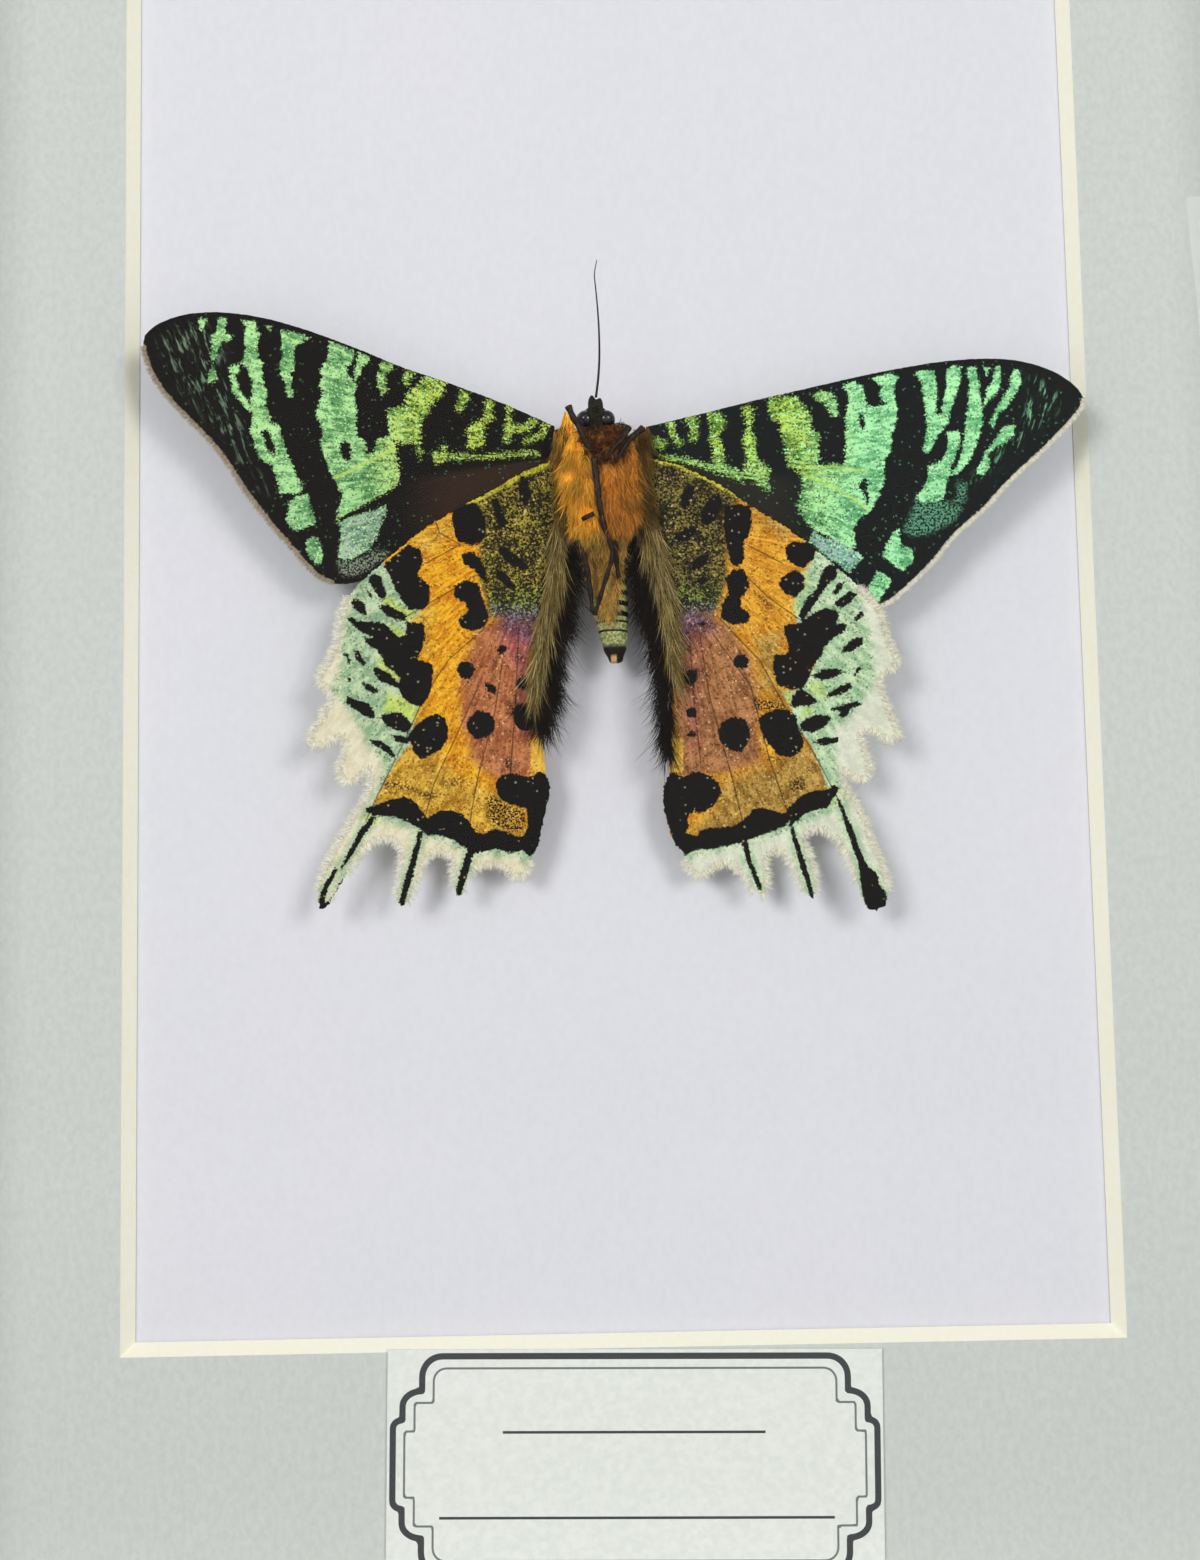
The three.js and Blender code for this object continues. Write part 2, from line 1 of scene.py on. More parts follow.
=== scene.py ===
# Looks of the framed sunset moth: wings, fur, legs, label, mat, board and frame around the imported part.
# Blender units are metres. Sizes and places below are millimetres, and make_mesh converts them once.
# A place on the moth is (u, v, h): right and up from the middle of the mat's opening, and height over
# the board.
import math

import bmesh
import bpy
import numpy as np
from mathutils import Matrix, Vector
from mathutils.geometry import delaunay_2d_cdt


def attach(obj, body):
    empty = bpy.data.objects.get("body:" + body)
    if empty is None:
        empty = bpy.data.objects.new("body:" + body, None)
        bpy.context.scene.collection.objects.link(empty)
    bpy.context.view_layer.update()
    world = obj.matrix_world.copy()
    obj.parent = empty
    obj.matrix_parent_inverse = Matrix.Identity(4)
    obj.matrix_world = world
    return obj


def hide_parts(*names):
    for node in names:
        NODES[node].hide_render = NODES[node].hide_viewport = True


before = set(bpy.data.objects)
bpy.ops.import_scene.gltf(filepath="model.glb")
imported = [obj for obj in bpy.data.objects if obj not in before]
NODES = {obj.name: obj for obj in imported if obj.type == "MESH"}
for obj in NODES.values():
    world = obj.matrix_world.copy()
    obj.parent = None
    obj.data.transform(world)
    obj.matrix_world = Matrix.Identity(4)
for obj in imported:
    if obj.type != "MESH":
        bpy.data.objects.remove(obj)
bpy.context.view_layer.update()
MM = 0.001
RANDOM = np.random.default_rng(7)
TINY = 1e-9

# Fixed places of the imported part: the board's front face, and the middle of the mat's opening
BOARD_Y = 1.35
MIDDLE_Z = 110.0

# Camera: place as (u, v, h), turns about its back, up and right axes in degrees, and lens for a 36 mm sensor
CAMERA_PLACE = (-2.87, -38.01, 197.41)
CAMERA_ROLL, CAMERA_YAW, CAMERA_PITCH = -1.053, -0.342, 5.676
CAMERA_LENS = 46.15
CAMERA_SENSOR = 36.0
# Markings are given where the camera sees them against a plane this high over the board
MARKING_PLANE = 5.0


def colour(red, green, blue):
    """Linear RGBA of a screen colour given as 0 to 255."""
    channels = [value / 255 for value in (red, green, blue)]
    linear = [c / 12.92 if c <= 0.04045 else ((c + 0.055) / 1.055) ** 2.4 for c in channels]
    return (*linear, 1.0)


def world_points(points):
    """Millimetre points (u, v, h) as an array of the frame's own x, y, z in millimetres."""
    points = np.asarray(points, float)
    return np.stack([points[:, 0], BOARD_Y - points[:, 2], points[:, 1] + MIDDLE_Z], 1)


def as_seen(points):
    """Where the camera sees x, y, z points against the marking plane, as (u, v)."""
    eye = np.array(CAMERA_PLACE)
    place = np.stack([points[:, 0], points[:, 2] - MIDDLE_Z, BOARD_Y - points[:, 1]], 1)
    reach = (eye[2] - MARKING_PLANE) / (eye[2] - place[:, 2])
    return eye[:2] + (place[:, :2] - eye[:2]) * reach[:, None]


def truly_at(seen, height):
    """The (u, v, h) places at a height that the camera sees at places of the marking plane."""
    eye = np.array(CAMERA_PLACE)
    height = np.broadcast_to(height, (len(seen),))
    reach = (eye[2] - height) / (eye[2] - MARKING_PLANE)
    return np.column_stack([eye[:2] + (seen - eye[:2]) * reach[:, None], height])


def make_mesh(name, vertices, triangles, attributes=None, sharp_degrees=None):
    """A smooth mesh object from millimetre vertices and triangles, with float or vector point attributes."""
    mesh = bpy.data.meshes.new(name)
    vertices = np.asarray(vertices, float)
    triangles = np.asarray(triangles, np.int32)
    mesh.vertices.add(len(vertices))
    mesh.vertices.foreach_set("co", (vertices * MM).ravel())
    mesh.loops.add(triangles.size)
    mesh.loops.foreach_set("vertex_index", triangles.ravel())
    mesh.polygons.add(len(triangles))
    mesh.polygons.foreach_set("loop_start", np.arange(0, triangles.size, 3, dtype=np.int32))
    mesh.polygons.foreach_set("use_smooth", np.full(len(triangles), True))
    for key, values in (attributes or {}).items():
        single = values.ndim == 1
        attribute = mesh.attributes.new(key, "FLOAT" if single else "FLOAT_VECTOR", "POINT")
        attribute.data.foreach_set("value" if single else "vector", values.ravel())
    mesh.update(calc_edges=True)
    if sharp_degrees:
        mesh.set_sharp_from_angle(angle=math.radians(sharp_degrees))
    thing = bpy.data.objects.new(name, mesh)
    bpy.context.scene.collection.objects.link(thing)
    return thing


def wear(thing, look):
    """Makes this the only material of a thing."""
    thing.data.materials.clear()
    thing.data.materials.append(look)


def show(thing, look, slot, *nodes):
    """Gives a piece its material and hides the CAD nodes that it stands for. The slot is not used."""
    wear(thing, look)
    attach(thing, "root")
    if nodes:
        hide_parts(*nodes)


class Look:
    """A material under construction. Each method adds nodes and returns the output socket."""

    def __init__(self, name, roughness=0.6, metallic=0.0, specular=0.5):
        self.material = bpy.data.materials.new(name)
        self.material.use_nodes = True
        self.tree = self.material.node_tree
        self.shader = self.tree.nodes["Principled BSDF"]
        self.shader.inputs["Roughness"].default_value = roughness
        self.shader.inputs["Metallic"].default_value = metallic
        self.shader.inputs["Specular IOR Level"].default_value = specular

    def feed(self, socket, value):
        if isinstance(value, bpy.types.NodeSocket):
            self.tree.links.new(value, socket)
        else:
            socket.default_value = value

    def node(self, kind, inputs=(), output=0, **settings):
        node = self.tree.nodes.new(kind)
        for key, value in settings.items():
            setattr(node, key, value)
        for key, value in dict(inputs).items():
            self.feed(node.inputs[key], value)
        return node.outputs[output]

    def number(self, name):
        return self.node("ShaderNodeAttribute", output="Fac", attribute_name=name)

    def vector(self, name):
        return self.node("ShaderNodeAttribute", output="Vector", attribute_name=name)

    def place(self):
        """Place on the object in millimetres."""
        spot = self.node("ShaderNodeTexCoord", output="Object")
        return self.stretch(spot, (1 / MM,) * 3)

    def stretch(self, vector, scale, turn=(0, 0, 0)):
        return self.node("ShaderNodeMapping", {"Vector": vector, "Scale": scale, "Rotation": turn})

    def axis(self, vector, name):
        return self.node("ShaderNodeSeparateXYZ", {"Vector": vector}, name)

    def noise(self, vector, scale=1.0, detail=2.0, rough=0.5):
        sizes = {"Scale": scale, "Detail": detail, "Roughness": rough}
        return self.node("ShaderNodeTexNoise", {"Vector": vector, **sizes})

    def cells(self, vector, scale):
        """One random grey for each scale of a wing."""
        tint = self.node("ShaderNodeTexVoronoi", {"Vector": vector, "Scale": scale}, "Color")
        return self.node("ShaderNodeSeparateColor", {"Color": tint}, "Red")

    def maths(self, operation, first, second=0.0):
        return self.node("ShaderNodeMath", {0: first, 1: second}, operation=operation)

    def plus(self, first, second):
        return self.maths("ADD", first, second)

    def minus(self, first, second):
        return self.maths("SUBTRACT", first, second)

    def times(self, first, second):
        return self.maths("MULTIPLY", first, second)

    def most(self, first, second):
        return self.maths("MAXIMUM", first, second)

    def apart(self, first, second=0.0):
        """How far two values are from each other, or the first from 0."""
        return self.maths("ABSOLUTE", self.minus(first, second))

    def sum_of(self, *parts):
        """The sum of values, each given with the share it counts for."""
        total = self.times(*parts[0])
        for value, share in parts[1:]:
            total = self.plus(total, self.times(value, share))
        return total

    def blend_in(self, value, low, high):
        """0 below low, 1 above high, and smooth between. With low above high it fades out instead."""
        ends = {"From Min": low, "From Max": high}
        return self.node("ShaderNodeMapRange", {"Value": value, **ends}, interpolation_type="SMOOTHSTEP")

    def mix(self, share, first, second):
        node = self.tree.nodes.new("ShaderNodeMix")
        node.data_type = "RGBA"
        self.feed(node.inputs[0], share)
        self.feed(node.inputs[6], first)
        self.feed(node.inputs[7], second)
        return node.outputs[2]

    def layered(self, ground, *layers):
        """A colour under layers, from the lowest up. Each is the share that it covers, and its colour."""
        for share, tint in layers:
            ground = self.mix(share, ground, tint)
        return ground

    def bump(self, height, strength, distance):
        """distance is the height of a full step, in millimetres."""
        inputs = {"Height": height, "Strength": strength, "Distance": distance * MM}
        self.tree.links.new(self.node("ShaderNodeBump", inputs), self.shader.inputs["Normal"])

    def done(self, base_colour):
        self.feed(self.shader.inputs["Base Color"], base_colour)
        return self.material


# Markings of the wings. Each patch is an outline of (u, v) places, and a line is an open row of them.
FORE_LEFT = {
    "pale": [
        [(-27.3, 24.9), (-26.1, 24.6), (-24.8, 24.0), (-25.0, 22.9), (-25.7, 22.3), (-25.4, 21.5),
         (-24.5, 20.5), (-24.9, 19.8), (-24.7, 18.6), (-24.6, 17.5), (-24.7, 16.6), (-24.6, 15.3),
         (-23.8, 15.0), (-23.7, 13.6), (-22.9, 13.8), (-22.6, 15.1), (-21.4, 15.3), (-20.8, 14.4),
         (-20.7, 12.9), (-20.4, 11.5), (-20.7, 10.4), (-23.2, 8.9), (-25.6, 7.7), (-26.7, 7.0),
         (-26.4, 8.3), (-26.0, 9.5), (-26.9, 11.2), (-27.3, 12.0), (-27.7, 13.2), (-28.3, 14.9),
         (-27.9, 15.8), (-28.3, 16.7), (-28.6, 17.8), (-28.2, 19.1), (-27.9, 20.0), (-28.3, 20.6),
         (-27.9, 21.4), (-28.2, 22.1), (-27.3, 23.5)],
        [(-32.0, 26.3), (-30.4, 25.9), (-29.2, 25.4), (-29.8, 25.0), (-30.4, 24.8), (-30.7, 24.2),
         (-30.8, 23.2), (-30.6, 22.6), (-31.1, 21.8), (-31.0, 20.6), (-30.8, 19.8), (-31.1, 19.3),
         (-31.5, 20.0), (-31.8, 21.2), (-32.1, 22.1), (-32.4, 22.6), (-31.9, 23.4), (-31.9, 24.7)],
        [(-33.7, 26.9), (-32.9, 26.5), (-33.1, 26.2)],
        [(-35.9, 27.3), (-34.5, 27.1), (-34.5, 26.5), (-34.0, 25.7), (-34.4, 24.7), (-34.3, 23.5),
         (-33.9, 22.8), (-33.9, 21.8), (-33.6, 20.6), (-33.3, 19.7), (-33.6, 18.8), (-33.2, 17.9),
         (-33.0, 16.9), (-32.3, 16.6), (-32.1, 15.9), (-31.7, 14.7), (-31.4, 13.5), (-30.9, 12.6),
         (-30.4, 11.3), (-29.8, 10.3), (-30.7, 9.7), (-31.6, 9.9), (-32.1, 9.5), (-32.4, 11.0),
         (-32.9, 12.6), (-33.6, 12.9), (-34.3, 13.6), (-34.6, 14.7), (-35.1, 16.2), (-34.8, 17.6),
         (-35.1, 18.5), (-34.9, 19.4), (-34.8, 20.6), (-35.1, 21.5), (-35.4, 22.5), (-35.9, 22.9),
         (-35.7, 23.5), (-35.5, 24.4), (-35.7, 25.3), (-35.5, 26.5)],
        [(-37.1, 22.7), (-36.2, 22.8), (-36.1, 22.3), (-36.5, 21.5), (-36.2, 20.3), (-35.7, 19.6),
         (-35.0, 18.6), (-35.1, 17.9), (-36.2, 19.3), (-36.8, 20.0), (-36.9, 21.2)],
        [(-38.3, 27.6), (-37.4, 27.6), (-37.6, 26.6), (-37.6, 25.9), (-36.8, 25.7), (-37.2, 25.0),
         (-37.7, 25.4), (-38.1, 24.4), (-38.5, 23.6), (-38.7, 22.8), (-39.0, 23.8), (-38.8, 24.8),
         (-39.0, 25.7), (-38.4, 26.0)],
        [(-38.9, 22.6), (-38.4, 22.4), (-38.3, 21.2), (-38.8, 21.3), (-39.3, 20.9)],
        [(-40.1, 27.6), (-39.3, 27.5), (-39.6, 26.8), (-39.9, 26.2), (-40.1, 26.8)],
        [(-24.5, 23.8), (-23.3, 23.4), (-23.4, 22.9), (-23.9, 22.5), (-24.2, 21.9), (-24.5, 21.2),
         (-24.8, 20.6), (-24.9, 21.6), (-24.6, 22.6)],
        [(-22.2, 23.0), (-21.0, 22.7), (-21.1, 22.0), (-21.9, 21.4), (-21.7, 20.6), (-21.6, 19.9),
         (-22.1, 19.5), (-22.5, 20.2), (-22.6, 21.0), (-22.3, 21.9)],
        [(-19.7, 22.0), (-18.8, 21.8), (-19.0, 21.2), (-19.4, 20.9), (-19.6, 20.3), (-19.9, 20.4),
         (-20.0, 21.1)],
        [(-17.7, 21.3), (-15.8, 20.6), (-16.0, 19.7), (-16.5, 19.0), (-17.3, 18.5), (-17.7, 17.4),
         (-18.3, 16.5), (-18.4, 14.6), (-19.8, 14.5), (-21.4, 15.0), (-21.5, 17.0), (-21.7, 17.9),
         (-19.8, 18.4), (-19.8, 19.4), (-18.9, 20.3)],
        [(-14.3, 20.0), (-13.4, 19.6), (-13.7, 18.7), (-14.3, 17.7), (-14.8, 17.8), (-14.6, 18.8)],
        [(-11.8, 19.0), (-11.1, 18.5), (-11.4, 17.6), (-11.1, 16.9), (-12.0, 16.6), (-12.1, 15.9),
         (-12.3, 14.1), (-13.7, 14.0), (-13.7, 15.9), (-12.9, 16.6), (-12.0, 17.2), (-12.1, 17.9)],
        [(-9.9, 18.4), (-9.2, 18.1), (-9.5, 17.4), (-9.4, 16.4), (-8.2, 16.2), (-7.6, 16.9), (-6.8, 16.6),
         (-7.6, 15.7), (-9.4, 15.4), (-9.9, 14.4), (-10.3, 14.5), (-10.0, 16.2), (-9.8, 17.4)],
        [(-6.3, 16.4), (-5.6, 16.4), (-6.3, 15.0), (-8.2, 14.3), (-8.3, 14.8), (-6.7, 15.3)],
        [(-18.7, 14.5), (-18.1, 13.9), (-18.4, 13.1), (-18.8, 13.8)],
        [(-17.3, 13.6), (-16.3, 13.9), (-16.1, 14.8), (-15.9, 13.7), (-14.8, 13.4), (-12.7, 13.3),
         (-10.0, 13.5), (-7.0, 13.6), (-6.7, 13.2), (-10.1, 13.1), (-12.7, 12.9), (-15.6, 12.9),
         (-16.8, 12.4), (-17.2, 13.0)],
        [(-31.3, 8.8), (-30.5, 9.5), (-29.5, 9.7), (-29.2, 8.7), (-28.9, 7.7), (-28.7, 6.9), (-29.7, 6.3),
         (-30.7, 6.0), (-31.3, 6.5), (-31.6, 7.2), (-31.3, 8.0)],
        [(-29.7, 4.8), (-29.2, 5.4), (-28.6, 5.5), (-28.3, 4.7), (-28.0, 3.5), (-28.2, 2.7), (-28.7, 2.7),
         (-29.2, 3.3), (-29.6, 4.2)],
    ],
    "hole": [
        [(-26.2, 14.7), (-25.6, 14.9), (-25.2, 14.4), (-25.2, 13.3), (-25.6, 12.9), (-26.0, 13.2),
         (-26.3, 13.9)],
        [(-34.0, 16.0), (-33.4, 16.2), (-33.0, 15.6), (-32.7, 14.7), (-32.6, 13.6), (-33.2, 13.9),
         (-33.6, 14.8)],
    ],
    "blue": [
        [(-26.7, 6.8), (-26.3, 6.3), (-26.1, 5.5), (-26.3, 4.8), (-26.5, 3.7), (-26.3, 3.3), (-25.3, 3.1),
         (-24.2, 3.6), (-23.3, 4.3), (-22.8, 5.3), (-22.3, 6.5), (-21.8, 7.6), (-21.9, 8.4), (-23.7, 7.9),
         (-25.3, 7.3)],
    ],
    "dusty": [
        [(-26.5, 2.9), (-26.0, 2.8), (-23.8, 3.3), (-22.7, 3.9), (-21.8, 3.8), (-22.1, 3.3), (-23.3, 2.4),
         (-24.7, 1.7), (-26.0, 1.6), (-26.3, 2.1)],
    ],
    "wisp": [
        [(-44.6, 25.4), (-43.0, 26.8), (-39.5, 27.8), (-37.3, 24.5), (-36.6, 20.5), (-35.4, 17.0),
         (-34.4, 13.0), (-32.8, 9.3), (-34.4, 10.2), (-38.0, 14.9), (-42.0, 20.0), (-43.9, 23.0)],
    ],
    "vein": [
        [(-26.8, 11.2), (-24.0, 12.6), (-20.6, 14.2)],
        [(-26.8, 7.0), (-23.2, 8.7), (-20.6, 10.2)],
    ],
}
FORE_RIGHT = {
    "pale": [
        [(15.8, 18.0), (16.1, 18.6), (18.3, 18.8), (19.1, 18.3), (19.6, 17.3), (20.1, 16.6), (19.9, 15.4),
         (20.8, 14.8), (20.7, 13.8), (20.8, 12.2), (20.2, 11.6), (18.5, 11.2), (17.6, 11.7), (17.4, 13.5),
         (17.1, 14.9), (17.0, 16.1), (16.1, 16.4)],
        [(20.2, 18.8), (21.1, 19.2), (22.3, 18.9), (22.6, 17.9), (22.7, 16.7), (22.1, 16.7), (21.7, 17.6),
         (20.8, 18.2)],
        [(23.2, 19.8), (24.4, 20.1), (25.2, 19.6), (25.4, 18.8), (25.5, 17.9), (26.3, 17.4), (27.6, 17.7),
         (26.8, 18.6), (27.1, 19.6), (26.1, 20.4), (28.3, 20.8), (28.8, 20.4), (28.3, 19.4), (28.3, 18.3),
         (28.6, 17.3), (28.4, 15.9), (27.9, 14.7), (27.8, 13.2), (27.1, 11.9), (27.1, 10.2), (26.2, 8.0),
         (25.6, 7.1), (24.5, 6.4), (23.9, 5.4), (24.0, 3.5), (23.0, 3.4), (21.5, 4.6), (20.4, 5.0),
         (19.2, 6.2), (18.4, 7.7), (19.0, 9.2), (18.9, 10.6), (18.5, 11.3), (20.6, 11.7), (23.3, 11.8),
         (23.4, 14.2), (23.4, 16.2), (23.6, 17.3), (23.9, 18.5)],
        [(30.3, 20.7), (31.1, 21.1), (32.4, 21.0), (32.4, 20.2), (32.6, 18.8), (32.3, 17.3), (32.6, 16.4),
         (33.2, 15.5), (32.6, 14.6), (32.1, 13.8), (31.7, 12.9), (31.3, 12.6), (31.0, 13.0), (31.4, 15.4),
         (31.3, 17.3), (31.1, 18.8), (31.0, 20.1)],
        [(33.5, 21.0), (34.2, 21.6), (35.1, 21.3), (34.9, 20.2), (34.5, 18.8), (33.9, 17.3), (33.6, 16.1),
         (33.2, 15.4), (32.7, 15.8), (32.9, 17.0), (33.3, 18.5), (33.6, 19.9)],
        [(33.3, 14.9), (34.6, 14.8), (34.6, 13.8), (34.2, 12.6), (33.8, 11.7), (33.6, 11.0), (33.4, 10.3),
         (33.1, 9.4), (32.8, 8.2), (31.7, 7.7), (30.7, 7.7), (30.1, 8.4), (30.7, 9.1), (31.3, 10.2),
         (31.4, 11.4), (32.9, 12.0), (33.4, 13.2)],
        [(35.5, 21.4), (36.4, 21.4), (36.7, 20.2), (36.7, 18.8), (36.9, 17.3), (37.0, 16.1), (36.7, 14.9),
         (36.3, 13.8), (35.8, 12.6), (35.2, 11.7), (34.4, 10.6), (33.6, 10.5), (34.4, 11.7), (34.8, 12.9),
         (35.1, 14.1), (35.2, 15.5), (35.4, 17.0), (35.7, 18.5), (35.7, 19.9)],
        [(38.5, 21.4), (38.9, 21.3), (38.8, 19.9), (38.5, 18.8), (37.6, 17.9), (37.0, 17.3), (37.4, 18.8),
         (38.0, 19.9)],
        [(37.2, 21.4), (37.8, 21.3), (37.5, 20.4)],
        [(40.2, 21.1), (40.8, 20.8), (40.8, 19.6), (40.2, 18.5), (39.4, 17.3), (38.5, 16.7), (38.0, 15.1),
         (37.6, 15.8), (38.2, 17.0), (38.8, 17.9), (39.6, 19.0), (39.9, 20.2)],
        [(38.9, 15.2), (40.2, 15.4), (39.8, 14.4), (38.9, 13.5), (38.0, 13.1), (37.3, 12.4), (37.6, 11.4),
         (36.8, 10.4), (36.1, 10.5), (36.6, 11.7), (37.0, 12.6), (37.9, 13.8)],
        [(13.3, 17.6), (14.0, 18.0), (14.4, 17.0), (14.0, 15.8), (14.5, 14.2), (14.6, 12.6), (15.9, 11.3),
         (15.6, 10.3), (16.0, 9.2), (14.9, 9.6), (14.0, 10.6), (13.2, 10.9), (13.6, 12.6), (13.3, 14.2),
         (13.7, 15.8)],
        [(9.8, 17.3), (11.0, 17.2), (11.8, 16.1), (11.3, 15.5), (10.9, 15.0), (11.3, 13.2), (11.4, 12.0),
         (10.2, 12.0), (10.4, 13.6), (9.9, 14.4), (10.2, 15.6)],
        [(7.7, 16.6), (8.8, 17.0), (9.0, 15.9), (8.8, 14.4), (8.0, 14.4), (8.2, 15.5)],
        [(5.7, 16.4), (6.6, 16.2), (6.6, 15.2), (7.4, 14.2), (7.0, 13.8), (6.2, 14.8)],
        [(3.6, 14.4), (5.0, 14.8), (6.0, 14.2), (5.4, 13.6), (4.2, 13.9)],
        [(5.0, 13.1), (7.6, 12.7), (9.6, 12.1), (11.5, 12.0), (13.6, 11.0), (13.2, 10.1), (11.6, 10.9),
         (9.7, 11.5), (7.6, 12.2), (5.2, 12.7)],
        [(27.6, 4.9), (28.3, 5.1), (28.4, 4.2), (28.5, 3.5), (29.1, 3.4), (29.7, 2.9), (29.5, 1.7),
         (28.4, 1.1), (27.6, 1.8), (27.1, 2.2), (26.6, 2.5), (26.9, 3.4), (27.4, 4.2)],
        [(26.0, 1.0), (26.7, 0.8), (27.4, 0.1), (26.9, -0.8), (26.0, -1.8), (25.3, -1.3), (25.1, -0.8),
         (25.5, 0.1)],
    ],
    "hole": [
        [(25.1, 10.5), (25.4, 10.3), (25.4, 8.9), (25.6, 8.0), (25.3, 7.8), (25.0, 8.9), (24.4, 9.4),
         (24.7, 9.9)],
        [(24.7, 16.9), (25.2, 16.8), (25.3, 15.8), (25.1, 15.2), (24.8, 15.8)],
        [(32.9, 14.4), (33.1, 13.5), (32.7, 12.6), (32.0, 11.9), (31.6, 12.3), (31.9, 13.2), (32.4, 14.0)],
    ],
    "blue": [
        [(20.0, 5.2), (20.7, 4.6), (22.1, 4.1), (24.0, 3.1), (24.7, 2.5), (24.1, 1.8), (23.5, 1.0),
         (22.0, 1.9), (20.4, 3.2), (19.6, 4.3)],
    ],
    "dusty": [
        [(30.2, 8.2), (32.6, 8.0), (34.5, 7.2), (33.6, 5.9), (31.5, 4.9), (29.6, 4.6), (28.9, 5.2),
         (29.6, 6.6)],
        [(34.2, 9.8), (35.0, 9.6), (34.9, 8.0), (33.6, 7.4), (34.3, 8.4)],
    ],
    "wisp": [
        [(41.0, 20.9), (42.6, 20.3), (44.9, 18.4), (44.4, 16.6), (41.8, 14.2), (38.0, 10.9), (35.5, 8.7),
         (35.4, 10.4), (38.2, 12.9), (40.4, 15.4), (41.3, 18.4)],
    ],
    "vein": [
        [(18.7, 11.0), (22.0, 9.6), (25.4, 7.3)],
        [(18.6, 11.4), (22.0, 11.6), (25.2, 11.0)],
    ],
}
